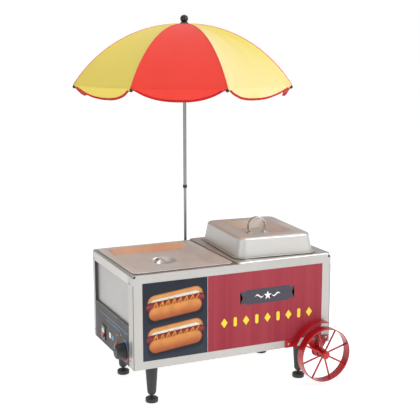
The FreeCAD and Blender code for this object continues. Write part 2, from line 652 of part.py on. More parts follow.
def stretcher():
    y = STRETCHER_SHIFT
    run, rise = JOINT_R - RUNNER_R, JOINT_Z - RUNNER_Z
    bar = cyl(STRETCHER_R, math.hypot(rise, run), (RUNNER_R, y, RUNNER_Z), (run, 0, rise))
    bar = one(bar.fuse(eye(RUNNER_R, y, RUNNER_Z)).fuse(eye(JOINT_R, y, JOINT_Z)))
    bar.translate(Vector(*pole_at(0)))
    return bar


def cloth_line(offset, k):
    """Points along rib k, offset outward from it."""
    a = math.radians(RIB_TURN + RIB_PITCH * k)
    points = []
    for i in range(GORE_STEPS + 1):
        radius, z = arc_point(FABRIC_START + (1.0 - FABRIC_START) * i / GORE_STEPS, offset)
        points.append(Vector(POLE_X + radius * math.cos(a), POLE_Y + radius * math.sin(a), z))
    return points


def polygon_face(*points):
    return Part.Face(Part.makePolygon([*points, points[0]]))


def gore(k):
    """Canopy panel, flat across from rib k to the next, and its scalloped edge."""
    outer = [cloth_line(FABRIC_GAP + FABRIC_T, rib_k) for rib_k in (k, k + 1)]
    inner = [cloth_line(FABRIC_GAP, rib_k) for rib_k in (k, k + 1)]
    faces = []
    for i in range(GORE_STEPS):
        j = i + 1
        faces.append(polygon_face(outer[0][i], outer[0][j], outer[1][j], outer[1][i]))
        faces.append(polygon_face(inner[0][i], inner[1][i], inner[1][j], inner[0][j]))
        for over, under in zip(outer, inner):
            faces.append(polygon_face(over[i], under[i], under[j], over[j]))
    faces.append(polygon_face(outer[0][0], outer[1][0], inner[1][0], inner[0][0]))
    faces.append(polygon_face(outer[0][-1], inner[0][-1], inner[1][-1], outer[1][-1]))
    shell = Part.makeShell(faces)
    shell.sewShape()
    panel = positive(Part.Solid(shell.Shells[0]))

    # scalloped edge hanging from the line between two tips
    start, span = inner[0][-1], inner[1][-1] - inner[0][-1]
    a = math.radians(RIB_TURN + RIB_PITCH * (k + 0.5))
    outward = Vector(math.cos(a), math.sin(a), 0)
    down = outward * -0.42 + Vector(0, 0, -0.9075)
    points = []
    for i in range(SCALLOP_STEPS + 1):
        u = i / SCALLOP_STEPS
        step = 0.6 if 0 < i < SCALLOP_STEPS else 0
        drop = SCALLOP * (1 - (2 * u - 1) ** 2) + step
        points.append(start + span * (0.03 + 0.94 * u) + down * drop)
    thickness = down.cross(span)
    thickness = thickness * (FABRIC_T / thickness.Length)
    if thickness.dot(outward) > 0:
        thickness = thickness * -1.0
    return [panel, positive(polygon_face(*points).extrude(thickness))]


def canopy(first):
    """Every second gore."""
    return Part.Compound([piece for k in range(first, RIBS, 2) for piece in gore(k)])


# ---------------------------------------------------------------- cord, screws
def power_cord():
    def inlet_at(y):
        return (CORD_X, CAB_D + y, CORD_Z)

    bush = cyl(6.9, 8, inlet_at(-4), REAR).fuse(cyl(9.5, 4, inlet_at(0), REAR))
    bush = bush.fuse(cone(7.5, 4.5, 14, inlet_at(4), REAR))
    bush = bush.cut(cyl(3.6, 60, inlet_at(-10), REAR))
    cord = tube([(x, CAB_D + y, z) for x, y, z in CORD_PATH], radius=3.4, bend=12.0)
    plug = box(222, 242, CAB_D + 13, CAB_D + 31, 164, 200.5)
    for x in (225.5, 236.5):           # blades
        plug = plug.fuse(box(x, x + 2, CAB_D + 19, CAB_D + 25, 146, 165))
    return Part.Compound([one(bush), one(cord.fuse(plug))])


def screw(x, y, z, axis):
    rim_h = 0.9
    crown_base = tuple(Vector(x, y, z) + Vector(*axis) * rim_h)
    return one(cyl(3.6, rim_h, (x, y, z), axis).fuse(cone(3.6, 2.2, 0.9, crown_base, axis)))


def screws():
    places = []
    for z in (BOTTOM + 257, BOTTOM + 20):                  # cabinet ends
        for y in (31, CAB_D - 9):
            places += [(0, y, z, LEFT), (CAB_W, y, z, RIGHT)]
    for x in (POLE_X - 23.5, POLE_X + 23.5):               # pole bracket
        places += [(x, CAB_D + 2.5, z, REAR) for z in (332, 398)]
    for x in (40, 250, 430, 624):                          # cabinet rear
        places += [(x, CAB_D, z, REAR) for z in (BOTTOM + 14, TOP - 18)]
    places.append((515.5, -3.5, BOTTOM + 12.5, FRONT))     # fender tab
    for x in (WHEEL_X - 30, WHEEL_X + 30):                 # wheel bracket
        places.append((x, -4, BOTTOM + 18, FRONT))
    return Part.Compound([screw(*place) for place in places])


# ---------------------------------------------------------------- write
BUILDERS = (
    front_shell, rear_shell, left_side_panel, right_side_panel, top_deck, pan_adapter_plate,
    base_plate, front_graphic, control_fascia, switch_housing, switch_rocker, thermostat_body,
    control_knob, pilot_lamp, water_well, heating_element, flat_lid, flat_lid_handle, dome_lid,
    dome_handle, wheel_rim, wheel_spokes, wheel_axle, wheel_bracket, wheel_fender,
    pole_bracket, clamp_knob, collar, crown, finial, runner, power_cord, screws,
)
parts = {build.__name__: build() for build in BUILDERS}
parts["left_pan"] = pan(PAN_L, TOP)
parts["right_pan"] = pan(PAN_R, TOP + ADAPTER_H)
parts["legs"] = Part.Compound([leg(x, y) for x, y in LEG_PLACES.values()])
for place, (x, y) in LEG_PLACES.items():
    parts["foot_" + place] = foot(x, y)
parts["lower_rod"] = cyl(ROD_R, ROD_Z1 - ROD_Z0, pole_at(ROD_Z0))
parts["upper_tube"] = one(ring(TUBE_RO, TUBE_RI, TUBE_Z1 - TUBE_Z0, pole_at(TUBE_Z0)))
for name, bar in (("rib", rib()), ("stretcher", stretcher())):
    for k in range(RIBS):
        parts["%s_%d" % (name, k + 1)] = spin(bar, k)
parts["canopy_yellow_panels"] = canopy(0)
parts["canopy_red_panels"] = canopy(1)

os.makedirs("parts", exist_ok=True)
for name, shape in parts.items():
    moved = shape.copy()
    moved.translate(Vector(-CENTRE_X, -CENTRE_Y, 0))
    moved.exportStep("parts/%s.step" % name)
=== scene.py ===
"""A small hot dog steamer cabinet with two lidded pans, a red wheel and a striped umbrella.

The cabinet stands on the counter at z = 0, its printed front facing -y and its control
panel on the left end, facing -x. The umbrella's pole stands towards the rear.
Layout lengths are in millimetres from the cabinet's front left corner, with z from the
counter; place() turns them into metres. Lengths inside materials are in metres.
"""
import math
import bpy
import bmesh
import numpy as np
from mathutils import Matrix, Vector


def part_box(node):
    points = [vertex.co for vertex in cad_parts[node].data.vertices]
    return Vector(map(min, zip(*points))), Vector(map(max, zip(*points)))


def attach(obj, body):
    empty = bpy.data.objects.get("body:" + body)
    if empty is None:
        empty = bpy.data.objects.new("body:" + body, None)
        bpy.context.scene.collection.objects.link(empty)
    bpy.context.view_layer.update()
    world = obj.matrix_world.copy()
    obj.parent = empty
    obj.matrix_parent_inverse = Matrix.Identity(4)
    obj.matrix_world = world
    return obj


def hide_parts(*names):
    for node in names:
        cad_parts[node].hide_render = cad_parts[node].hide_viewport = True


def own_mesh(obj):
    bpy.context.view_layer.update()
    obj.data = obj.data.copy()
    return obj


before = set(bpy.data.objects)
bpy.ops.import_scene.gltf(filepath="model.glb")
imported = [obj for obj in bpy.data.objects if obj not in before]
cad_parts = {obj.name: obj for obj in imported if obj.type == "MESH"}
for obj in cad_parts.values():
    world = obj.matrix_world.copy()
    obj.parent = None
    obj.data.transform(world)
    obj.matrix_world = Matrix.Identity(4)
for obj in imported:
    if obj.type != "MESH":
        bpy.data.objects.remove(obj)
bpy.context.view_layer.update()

MM = 0.001
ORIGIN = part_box("front_shell")[0]

# printed front: the picture on the left, the sign on the right, a thin line between them
PANEL_LEFT, PANEL_RIGHT = 30.0, 634.0
PANEL_BOTTOM, PANEL_TOP = 152.0, 388.0
PANEL_THICK = 0.8
SPLIT_X, SPLIT_WIDTH = 236.4, 1.1
SIGN_LEFT = SPLIT_X + SPLIT_WIDTH

# control dial on the left end
DIAL_Y, DIAL_Z = 80, 165

# umbrella: each rib is an arc from its pivot near the pole to its tip
POLE_X, POLE_Y = 332.0, 395.0
RIB_COUNT = 8
RIB_STEP = 360.0 / RIB_COUNT            # degrees
RIB_START = -3.0                        # degrees
PIVOT_R, PIVOT_Z = 11.5, 1125.0
TIP_R, TIP_Z = 367.0, 938.0
RIB_BOW = 50.0                          # rise of the arc over its chord

# canopy cloth
CLOTH_OFFSET = 6.2                      # outer face above the rib's arc
CLOTH_THICK = 1.0
SCALLOP = 44.0                          # deepest drop of the hanging edge
CLOTH_START = 0.004                     # where the cloth begins along the rib, 0..1
GORE_COLS, RIB_ROWS, HANG_ROWS = 32, 34, 12


def place(x, y, z):
    return Vector((ORIGIN.x + x * MM, ORIGIN.y + y * MM, z * MM))


# ------------------------------------------------------------------ colours
def hex_rgb(code):
    code = code.lstrip("#")
    return [int(code[i:i + 2], 16) / 255 for i in (0, 2, 4)]


def linear(code):
    """Linear RGBA of an sRGB hex code."""
    return tuple([c / 12.92 if c <= 0.04045 else ((c + 0.055) / 1.055) ** 2.4
                  for c in hex_rgb(code)] + [1.0])


def shade(color, gain, lift=0.0):
    return tuple([min(1, c * gain + lift) for c in color[:3]] + [1])


# ------------------------------------------------------------------ shader helpers
def add_node(tree, kind):
    return tree.nodes.new("ShaderNode" + kind)


def feed(tree, socket, value):
    """Link a socket's output, or set a plain value."""
    if isinstance(value, bpy.types.NodeSocket):
        tree.links.new(value, socket)
    else:
        socket.default_value = value


def new_material(name):
    mat = bpy.data.materials.new(name)
    mat.use_nodes = True
    tree = mat.node_tree
    tree.nodes.clear()
    out = add_node(tree, "OutputMaterial")
    bsdf = add_node(tree, "BsdfPrincipled")
    feed(tree, out.inputs[0], bsdf.outputs[0])
    return mat, tree, bsdf, out


def coords(tree, scale=(1, 1, 1)):
    source = add_node(tree, "TexCoord")
    mapping = add_node(tree, "Mapping")
    mapping.inputs["Scale"].default_value = scale
    feed(tree, mapping.inputs["Vector"], source.outputs["Object"])
    return mapping.outputs[0]


def split_xyz(tree, vector):
    node = add_node(tree, "SeparateXYZ")
    feed(tree, node.inputs[0], vector)
    return node.outputs


def noise(tree, vector, scale, detail=3, rough=0.5, distortion=0.0):
    node = add_node(tree, "TexNoise")
    node.inputs["Scale"].default_value = scale
    node.inputs["Detail"].default_value = detail
    node.inputs["Roughness"].default_value = rough
    node.inputs["Distortion"].default_value = distortion
    feed(tree, node.inputs["Vector"], vector)
    return node.outputs["Fac"]


def ramp(tree, value, stops):
    """Colour ramp; stops are (position, colour)."""
    node = add_node(tree, "ValToRGB")
    elements = node.color_ramp.elements
    while len(elements) < len(stops):
        elements.new(0.5)
    for element, (position, color) in zip(elements, stops):
        element.position = position
        element.color = (*color[:3], 1)
    feed(tree, node.inputs[0], value)
    return node.outputs[0]


def remap(tree, value, span, to):
    node = add_node(tree, "MapRange")
    for i, bound in enumerate((*span, *to), start=1):
        node.inputs[i].default_value = bound
    feed(tree, node.inputs[0], value)
    return node.outputs[0]


def calc(tree, operation, first, second):
    node = add_node(tree, "Math")
    node.operation = operation
    feed(tree, node.inputs[0], first)
    feed(tree, node.inputs[1], second)
    return node.outputs[0]


def mix(tree, factor, first, second, mode="MIX"):
    node = add_node(tree, "Mix")
    node.data_type = "RGBA"
    node.blend_type = mode
    for i, value in ((0, factor), (6, first), (7, second)):     # the colour sockets are 6 and 7
        feed(tree, node.inputs[i], value)
    return node.outputs[2]


def bump(tree, bsdf, height, strength, depth):
    node = add_node(tree, "Bump")
    node.inputs["Strength"].default_value = strength
    node.inputs["Distance"].default_value = depth
    feed(tree, node.inputs["Height"], height)
    feed(tree, bsdf.inputs["Normal"], node.outputs[0])


def edge_wear(tree, radius=0.0012):
    """0 on faces, towards 1 on edges, from the bevel node."""
    bevel = add_node(tree, "Bevel")
    bevel.samples = 4
    bevel.inputs["Radius"].default_value = radius
    geometry = add_node(tree, "NewGeometry")
    dot = add_node(tree, "VectorMath")
    dot.operation = "DOT_PRODUCT"
    feed(tree, dot.inputs[0], bevel.outputs[0])
    feed(tree, dot.inputs[1], geometry.outputs["Normal"])
    return remap(tree, dot.outputs["Value"], span=(0.80, 0.99), to=(1.0, 0.0))


# ------------------------------------------------------------------ material kinds
def steel(name, base, rough, stretch=(1, 60, 60), tint="#cfc7bd", cloud_mix=0.35,
          metallic=1.0, anisotropic=0.35):
    """Stainless steel with fine streaks along one direction, cloudy tint, faint smears and
    painted shade in its corners.
    """
    mat, tree, bsdf, _ = new_material(name)
    streak = noise(tree, coords(tree, stretch), scale=34.0, detail=4, rough=0.65)
    even = coords(tree)
    cloud = noise(tree, even, scale=6.0, detail=3, rough=0.6, distortion=0.4)
    smear = noise(tree, even, scale=2.2, detail=2, rough=0.5, distortion=1.2)
    color = mix(tree, remap(tree, streak, span=(0.3, 0.7), to=(0.0, 0.22)),
                base, shade(base, gain=0.72))
    color = mix(tree, remap(tree, cloud, span=(0.35, 0.75), to=(0.0, cloud_mix)),
                color, linear(tint))
    # painted shade: the colour darkens towards a deep grey in the corners and seams, where the
    # ambient occlusion is low
    occlusion = add_node(tree, "AmbientOcclusion")
    occlusion.samples = 6
    occlusion.inputs["Distance"].default_value = 0.022
    color = mix(tree, remap(tree, occlusion.outputs["AO"], span=(0.30, 0.90), to=(0.62, 0.0)),
                color, shade(base, gain=0.22))
    feed(tree, bsdf.inputs["Base Color"], color)
    bsdf.inputs["Metallic"].default_value = metallic
    streak_rough = remap(tree, streak, span=(0.2, 0.8), to=(rough - 0.05, rough + 0.08))
    smear_rough = remap(tree, smear, span=(0.3, 0.7), to=(-0.03, 0.06))
    feed(tree, bsdf.inputs["Roughness"], calc(tree, "ADD", streak_rough, smear_rough))
    bsdf.inputs["Anisotropic"].default_value = anisotropic
    bump(tree, bsdf, streak, strength=0.08, depth=0.0002)
    return mat


def plastic(name, base, rough, grain_scale=900.0, grain=0.12, wear=0.25):
    """Moulded plastic: fine grain, soft patches, paler along the edges."""
    mat, tree, bsdf, _ = new_material(name)
    vector = coords(tree)
    fine = noise(tree, vector, scale=grain_scale, detail=2)
    patch = noise(tree, vector, scale=9.0, detail=3, rough=0.6)
    color = mix(tree, remap(tree, patch, span=(0.35, 0.7), to=(0.0, 0.35)),
                base, shade(base, gain=1.5, lift=0.015))
    color = mix(tree, calc(tree, "MULTIPLY", edge_wear(tree), wear),
                color, shade(base, gain=2.6, lift=0.04))
    feed(tree, bsdf.inputs["Base Color"], color)
    feed(tree, bsdf.inputs["Roughness"],
         remap(tree, patch, span=(0.3, 0.7), to=(rough - 0.06, rough + 0.08)))
    bump(tree, bsdf, fine, strength=grain, depth=0.00015)
    return mat


def enamel(name, base, rough):
    """Enamel over metal: faint orange peel, darker in patches, thin and bright on the edges."""
    mat, tree, bsdf, _ = new_material(name)
    vector = coords(tree)
    peel = noise(tree, vector, scale=220.0, detail=3, rough=0.55)
    patch = noise(tree, vector, scale=14.0, detail=4, rough=0.6, distortion=0.3)
    color = mix(tree, remap(tree, patch, span=(0.35, 0.72), to=(0.0, 0.75)),
                base, shade(base, gain=0.55))
    chips = remap(tree, noise(tree, vector, scale=60.0), span=(0.45, 0.62), to=(0.0, 0.6))
    worn = calc(tree, "MULTIPLY", edge_wear(tree, radius=0.001), chips)
    color = mix(tree, worn, color, linear("#e77b76"))
    feed(tree, bsdf.inputs["Base Color"], color)
    feed(tree, bsdf.inputs["Roughness"],
         remap(tree, patch, span=(0.3, 0.7), to=(rough - 0.05, rough + 0.12)))
    bsdf.inputs["Coat Weight"].default_value = 0.35
    bsdf.inputs["Coat Roughness"].default_value = 0.15
    bump(tree, bsdf, peel, strength=0.10, depth=0.0003)
    return mat


def threads(tree, vector, direction):
    wave = add_node(tree, "TexWave")
    wave.bands_direction = direction
    wave.inputs["Scale"].default_value = 420.0
    wave.inputs["Distortion"].default_value = 0.6
    feed(tree, wave.inputs["Vector"], vector)
    return wave.outputs["Fac"]


def fabric(name, base, deep, back, painted_highlight=None):
    """Plain weave cloth, its tone varying, with light coming through from behind."""
    mat, tree, bsdf, out = new_material(name)
    vector = coords(tree)
    weave = calc(tree, "MULTIPLY", threads(tree, vector, "X"), threads(tree, vector, "Y"))
    patch = noise(tree, vector, scale=5.0, detail=3, rough=0.55, distortion=0.5)
    fleck = noise(tree, vector, scale=90.0, detail=2)
    color = mix(tree, remap(tree, patch, span=(0.35, 0.75), to=(0.0, 0.55)), base, deep)
    color = mix(tree, remap(tree, fleck, span=(0.3, 0.7), to=(0.0, 0.10)), color, deep)
    color = mix(tree, calc(tree, "MULTIPLY", weave, 0.18),
                color, shade(base, gain=1.2, lift=0.02))
    if painted_highlight is not None:               # painted highlight: paler where the cloth faces +x, the side towards the key light
        normal = split_xyz(tree, add_node(tree, "NewGeometry").outputs["True Normal"])
        color = mix(tree, remap(tree, normal["X"], span=(0.05, 0.50), to=(0.0, 0.80)),
                    color, painted_highlight)
    feed(tree, bsdf.inputs["Base Color"], color)
    bsdf.inputs["Roughness"].default_value = 0.72
    bsdf.inputs["Sheen Weight"].default_value = 0.25
    bsdf.inputs["Sheen Roughness"].default_value = 0.45
    bsdf.inputs["Specular IOR Level"].default_value = 0.3
    bump(tree, bsdf, weave, strength=0.18, depth=0.0002)
    through = add_node(tree, "BsdfTranslucent")
    through.inputs[0].default_value = back
    blend = add_node(tree, "MixShader")
    blend.inputs[0].default_value = 0.22
    feed(tree, blend.inputs[1], bsdf.outputs[0])
    feed(tree, blend.inputs[2], through.outputs[0])
    feed(tree, out.inputs[0], blend.outputs[0])
    return mat


def ink(name, base, rough, wear, wear_mix):
    """Flat printing ink with worn patches and a pale fleck."""
    mat, tree, bsdf, _ = new_material(name)
    vector = coords(tree)
    patch = noise(tree, vector, scale=45.0, detail=4, rough=0.6)
    color = mix(tree, remap(tree, patch, span=(0.3, 0.75), to=(0.0, wear_mix)),
                linear(base), linear(wear))
    fleck = noise(tree, vector, scale=900.0, detail=2)
    color = mix(tree, remap(tree, fleck, span=(0.4, 0.7), to=(0.0, 0.06)), color, (1, 1, 1, 1))
    feed(tree, bsdf.inputs["Base Color"], color)
    bsdf.inputs["Roughness"].default_value = rough
    bump(tree, bsdf, noise(tree, vector, scale=500.0, detail=2), strength=0.04, depth=0.0001)
    return mat


# ------------------------------------------------------------------ single materials
def rocker_material():
    """Pale rocker with a red printed stripe, set by height."""
    mat, tree, bsdf, _ = new_material("rocker_plastic")
    height = split_xyz(tree, add_node(tree, "TexCoord").outputs["Object"])["Z"]
    from_centre = calc(tree, "SUBTRACT", height, 0.164)
    stripe = calc(tree, "MULTIPLY", calc(tree, "GREATER_THAN", from_centre, -0.0115),
                  calc(tree, "LESS_THAN", from_centre, 0.0005))
    color = mix(tree, stripe, linear("#e9dcd8"), linear("#c8202a"))
    vector = coords(tree)
    patch = noise(tree, vector, scale=40.0)
    color = mix(tree, remap(tree, patch, span=(0.35, 0.7), to=(0.0, 0.18)),
                color, linear("#c9b6b0"))
    feed(tree, bsdf.inputs["Base Color"], color)
    bsdf.inputs["Roughness"].default_value = 0.3
    bsdf.inputs["Coat Weight"].default_value = 0.3
    bump(tree, bsdf, noise(tree, vector, scale=700.0, detail=2), strength=0.05, depth=0.0001)
    return mat


def lamp_material():
    """Red lens with a faint glow."""
    mat, tree, bsdf, _ = new_material("lamp_lens")
    fleck = noise(tree, coords(tree), scale=300.0, detail=2)
    color = mix(tree, remap(tree, fleck, span=(0.3, 0.7), to=(0.0, 0.3)),
                linear("#d01418"), linear("#8d0a10"))
    feed(tree, bsdf.inputs["Base Color"], color)
    bsdf.inputs["Roughness"].default_value = 0.12
    bsdf.inputs["Coat Weight"].default_value = 0.6
    bsdf.inputs["Emission Color"].default_value = linear("#ff2a20")
    bsdf.inputs["Emission Strength"].default_value = 0.25
    return mat


def picture_material():
    """Print that shows the colours stored on the panel's points."""
    mat, tree, bsdf, _ = new_material("print_picture")
    stored = add_node(tree, "Attribute")
    stored.attribute_name = "paint"
    vector = coords(tree)
    fleck = noise(tree, vector, scale=900.0, detail=2)
    color = mix(tree, remap(tree, fleck, span=(0.3, 0.7), to=(0.0, 0.06)),
                stored.outputs["Color"], (0.0, 0.0, 0.0, 1))
    feed(tree, bsdf.inputs["Base Color"], color)
    bsdf.inputs["Roughness"].default_value = 0.38
    bsdf.inputs["Specular IOR Level"].default_value = 0.22
    bump(tree, bsdf, noise(tree, vector, scale=160.0, detail=2), strength=0.03, depth=0.0002)
    return mat


def boards_material():
    """Dull crimson boards, a little lighter towards the top, with narrow darker joints."""
    mat, tree, bsdf, _ = new_material("print_boards")
    position = split_xyz(tree, add_node(tree, "TexCoord").outputs["Object"])
    broad = noise(tree, coords(tree, (34, 1, 0.6)), scale=1.0, detail=3, rough=0.6)
    grain = noise(tree, coords(tree, (150, 1, 2.5)), scale=1.0, detail=4, rough=0.65)
    color = ramp(tree, broad, [(0.30, linear("#962a3b")),
                               (0.50, linear("#9e3340")),
                               (0.70, linear("#a63d48"))])
    color = mix(tree, remap(tree, grain, span=(0.35, 0.7), to=(0.0, 0.30)),
                color, linear("#8c2a3a"))
    height = remap(tree, position["Z"], span=(PANEL_BOTTOM * MM, PANEL_TOP * MM), to=(0.0, 0.55))
    color = mix(tree, height, color, linear("#a54049"))
    to_joint = calc(tree, "PINGPONG", position["X"], 0.0198)    # half a board's width
    joint = remap(tree, to_joint, span=(0.0, 0.0012), to=(0.32, 0.0))
    color = mix(tree, joint, color, linear("#7b2233"))
    feed(tree, bsdf.inputs["Base Color"], color)
    bsdf.inputs["Roughness"].default_value = 0.50
    bsdf.inputs["Specular IOR Level"].default_value = 0.22
    bump(tree, bsdf, grain, strength=0.03, depth=0.0003)
    return mat


def floor_material():
    mat, _, bsdf, _ = new_material("floor_pale")
    bsdf.inputs["Base Color"].default_value = (0.66, 0.66, 0.66, 1)
    bsdf.inputs["Roughness"].default_value = 0.95
    bsdf.inputs["Specular IOR Level"].default_value = 0.0
    bsdf.inputs["Emission Color"].default_value = (1, 1, 1, 1)
    bsdf.inputs["Emission Strength"].default_value = 0.72
    return mat


# ------------------------------------------------------------------ the set of materials
MATS = {
    "shell": steel("shell_steel", (0.57, 0.56, 0.54, 1), rough=0.42,
                   stretch=(1.0, 40, 60), tint="#b8b3ab", metallic=0.80),
    "shell_end": steel("end_steel", (0.50, 0.49, 0.48, 1), rough=0.38,
                       stretch=(40, 1.0, 60), tint="#aaa69f", metallic=0.85),
    "deck": steel("deck_steel", (0.64, 0.62, 0.60, 1), rough=0.36,
                  stretch=(1.0, 60, 60), tint="#bdb5ab", metallic=0.88),
    "lid": steel("lid_steel", (0.94, 0.90, 0.85, 1), rough=0.38,
                 stretch=(50, 1.2, 50), tint="#d2c6b8", metallic=0.86),
    "dome": steel("dome_steel", (0.77, 0.755, 0.73, 1), rough=0.43, stretch=(1.2, 50, 50),
                  tint="#cdc4b8", cloud_mix=0.30, metallic=0.88),
    "handle": steel("handle_steel", (0.72, 0.69, 0.64, 1), rough=0.14, stretch=(6, 6, 1),
                    tint="#a8977f", cloud_mix=0.45, anisotropic=0.0),
    "pole": steel("pole_steel", (0.29, 0.29, 0.295, 1), rough=0.24,
                  stretch=(60, 60, 1), tint="#bdbdbd", cloud_mix=0.2),
    "wire": steel("wire_steel", (0.50, 0.50, 0.51, 1), rough=0.30,
                  stretch=(60, 60, 1), tint="#8b8b8b", cloud_mix=0.3),
    "black": plastic("black_plastic", (0.022, 0.022, 0.025, 1), rough=0.42),
    "gloss_black": plastic("gloss_black", (0.016, 0.015, 0.016, 1), rough=0.18,
                           grain_scale=500.0, grain=0.03, wear=0.15),
    "knob": plastic("knob_plastic", (0.028, 0.028, 0.030, 1), rough=0.40,
                    grain_scale=700.0, grain=0.15, wear=0.3),
    "fascia": plastic("fascia_print", linear("#3a3635"), rough=0.50,
                      grain_scale=1200.0, grain=0.10, wear=0.1),
    "red_paint": enamel("red_enamel", linear("#bd131e"), rough=0.27),
    "red_fabric": fabric("canopy_red", base=linear("#f74a3c"), deep=linear("#ee4136"),
                         back=linear("#ff6a55")),
    "yellow_fabric": fabric("canopy_yellow", base=linear("#f7e56f"), deep=linear("#f0dc62"),
                            back=linear("#fff0a0"), painted_highlight=linear("#fffbe0")),
    "binding": fabric("binding_red", base=linear("#d6181d"), deep=linear("#c4121a"),
                      back=linear("#f23432")),
    "element": steel("element_sheath", (0.30, 0.27, 0.25, 1), rough=0.45,
                     stretch=(60, 1, 60), tint="#5a4a3c", cloud_mix=0.6),
    "cord": plastic("cord_rubber", (0.02, 0.02, 0.021, 1), rough=0.55,
                    grain_scale=1500.0, grain=0.2, wear=0.1),
    "screw": steel("screw_steel", (0.60, 0.60, 0.60, 1), rough=0.25, stretch=(1, 1, 1),
                   tint="#8d8d8d", cloud_mix=0.3, anisotropic=0.0),
    "inside": steel("inner_steel", (0.45, 0.44, 0.43, 1), rough=0.42,
                    stretch=(40, 1, 60), tint="#7d7770", cloud_mix=0.4),
    "rocker": rocker_material(),
    "lamp": lamp_material(),
    "picture": picture_material(),
    "boards": boards_material(),
    "navy": ink("print_navy", "#322f40", rough=0.45, wear="#1d1b28", wear_mix=0.35),
    "white_ink": ink("print_white", "#f2f0ee", rough=0.45, wear="#c9c5c4", wear_mix=0.2),
    "yellow_ink": ink("print_yellow", "#ffdf12", rough=0.40, wear="#f0b800", wear_mix=0.35),
    "blue_ink": ink("print_blue", "#3f95c6", rough=0.45, wear="#2a6f9c", wear_mix=0.3),
    "red_ink": ink("print_red", "#b82a2c", rough=0.45, wear="#8d1d22", wear_mix=0.3),
    "split_ink": ink("print_split", "#cfd0d6", rough=0.45, wear="#b0b2ba", wear_mix=0.3),
    # painted shade: dark ink for the strips that stand for the shadow in the corner gaps and in
    # the recess
    "joint": ink("painted_shade_ink", "#4a4643", rough=0.6, wear="#2c2927", wear_mix=0.4),
    # painted shadow: dark band under the lid rims, standing for the shadow gap between rim and
    # deck
    "rim_shadow": plastic("lid_rim_shadow", (0.030, 0.028, 0.027, 1), rough=0.5, grain=0.1, wear=0.1),
    "ledge": steel("ledge_steel", (0.78, 0.77, 0.75, 1), rough=0.40,
                   stretch=(40, 1.0, 60), tint="#cfcac2", metallic=0.7),
    "floor": floor_material(),
}


# ------------------------------------------------------------------ mesh helpers
def make_object(name, verts, faces, mat, smooth=True):
    mesh = bpy.data.meshes.new(name)
    mesh.from_pydata([tuple(v) for v in verts], [], faces)
    mesh.validate()
    obj = bpy.data.objects.new(name, mesh)
    bpy.context.scene.collection.objects.link(obj)
    mesh.materials.append(mat)
    if smooth:
        mesh.polygons.foreach_set("use_smooth", np.ones(len(mesh.polygons), bool))
    mesh.update()
    return obj


def fix_normals(obj):
    bm = bmesh.new()
    bm.from_mesh(obj.data)
    bmesh.ops.recalc_face_normals(bm, faces=bm.faces)
    bm.to_mesh(obj.data)
    bm.free()


def ring_faces(rings, sides):
    """Quads joining a stack of closed rings."""
    faces = []
    for i in range(rings - 1):
        for j in range(sides):
            k = (j + 1) % sides
            faces.append((i * sides + j, (i + 1) * sides + j,
                          (i + 1) * sides + k, i * sides + k))
    return faces


# ------------------------------------------------------------------ finish of the CAD pieces
# material, bevel width (0 for none), pieces
FINISHES = [
    ("shell", 0.8, ["front_shell", "rear_shell"]),
    ("shell", 0.0, ["base_plate"]),
    ("shell_end", 0.4, ["left_side_panel", "right_side_panel"]),
    ("deck", 0.4, ["top_deck"]),
    ("deck", 0.8, ["pan_adapter_plate"]),
    ("fascia", 0.4, ["control_fascia"]),
    ("gloss_black", 0.3, ["switch_housing"]),
    ("gloss_black", 0.0, ["collar", "crown", "finial", "runner"]),
    ("black", 0.5, ["legs"]),
    ("black", 0.0, ["thermostat_body", "foot_front_left", "foot_front_right",
                    "foot_rear_left", "foot_rear_right"]),
    ("inside", 0.0, ["water_well"]),
    ("element", 0.0, ["heating_element"]),
    ("red_paint", 0.5, ["wheel_bracket"]),
    ("red_paint", 0.0, ["wheel_axle", "wheel_fender", "wheel_rim", "wheel_spokes"]),
    ("pole", 0.5, ["pole_bracket"]),
    ("pole", 0.0, ["lower_rod", "upper_tube"]),
    ("cord", 0.0, ["power_cord"]),
    ("screw", 0.0, ["screws"]),
    ("lid", 0.0, ["left_pan", "right_pan", "flat_lid"]),
    ("dome", 0.0, ["dome_lid"]),
    ("handle", 0.8, ["flat_lid_handle", "dome_handle"]),
    ("knob", 0.0, ["clamp_knob", "control_knob"]),
    ("wire", 0.0, ["rib_%d" % (i + 1) for i in range(RIB_COUNT)]),
    ("wire", 0.0, ["stretcher_%d" % (i + 1) for i in range(RIB_COUNT)]),
    ("rocker", 0.4, ["switch_rocker"]),
    ("lamp", 0.0, ["pilot_lamp"]),
]


def finish_piece(name, mat, bevel_width):
    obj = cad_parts[name]
    obj.data.materials.clear()
    obj.data.materials.append(mat)
    if bevel_width:
        obj.modifiers.new("weld", "WELD").merge_threshold = 1e-5
        bevel = obj.modifiers.new("bevel", "BEVEL")
        bevel.width = bevel_width * MM
        bevel.segments = 2
        bevel.limit_method = "ANGLE"
        bevel.angle_limit = math.radians(35)
        bevel.harden_normals = True


for mat_key, bevel_width, pieces in FINISHES:
    for piece in pieces:
        finish_piece(piece, MATS[mat_key], bevel_width)


# ------------------------------------------------------------------ rib arc
# In the rib's own plane: r out from the pole, z up. The chord runs from pivot to tip.
CHORD = math.hypot(TIP_R - PIVOT_R, TIP_Z - PIVOT_Z)
CHORD_R, CHORD_Z = (TIP_R - PIVOT_R) / CHORD, (TIP_Z - PIVOT_Z) / CHORD
BOW_R, BOW_Z = -CHORD_Z, CHORD_R        # up and out, square to the chord
ARC_RADIUS = (CHORD * CHORD / 4 + RIB_BOW * RIB_BOW) / (2 * RIB_BOW)
ARC_HALF = math.asin(CHORD / 2 / ARC_RADIUS)
ARC_R = PIVOT_R + CHORD_R * CHORD / 2 + BOW_R * (RIB_BOW - ARC_RADIUS)
ARC_Z = PIVOT_Z + CHORD_Z * CHORD / 2 + BOW_Z * (RIB_BOW - ARC_RADIUS)
POLE_AXIS = np.array([POLE_X, POLE_Y, 0])


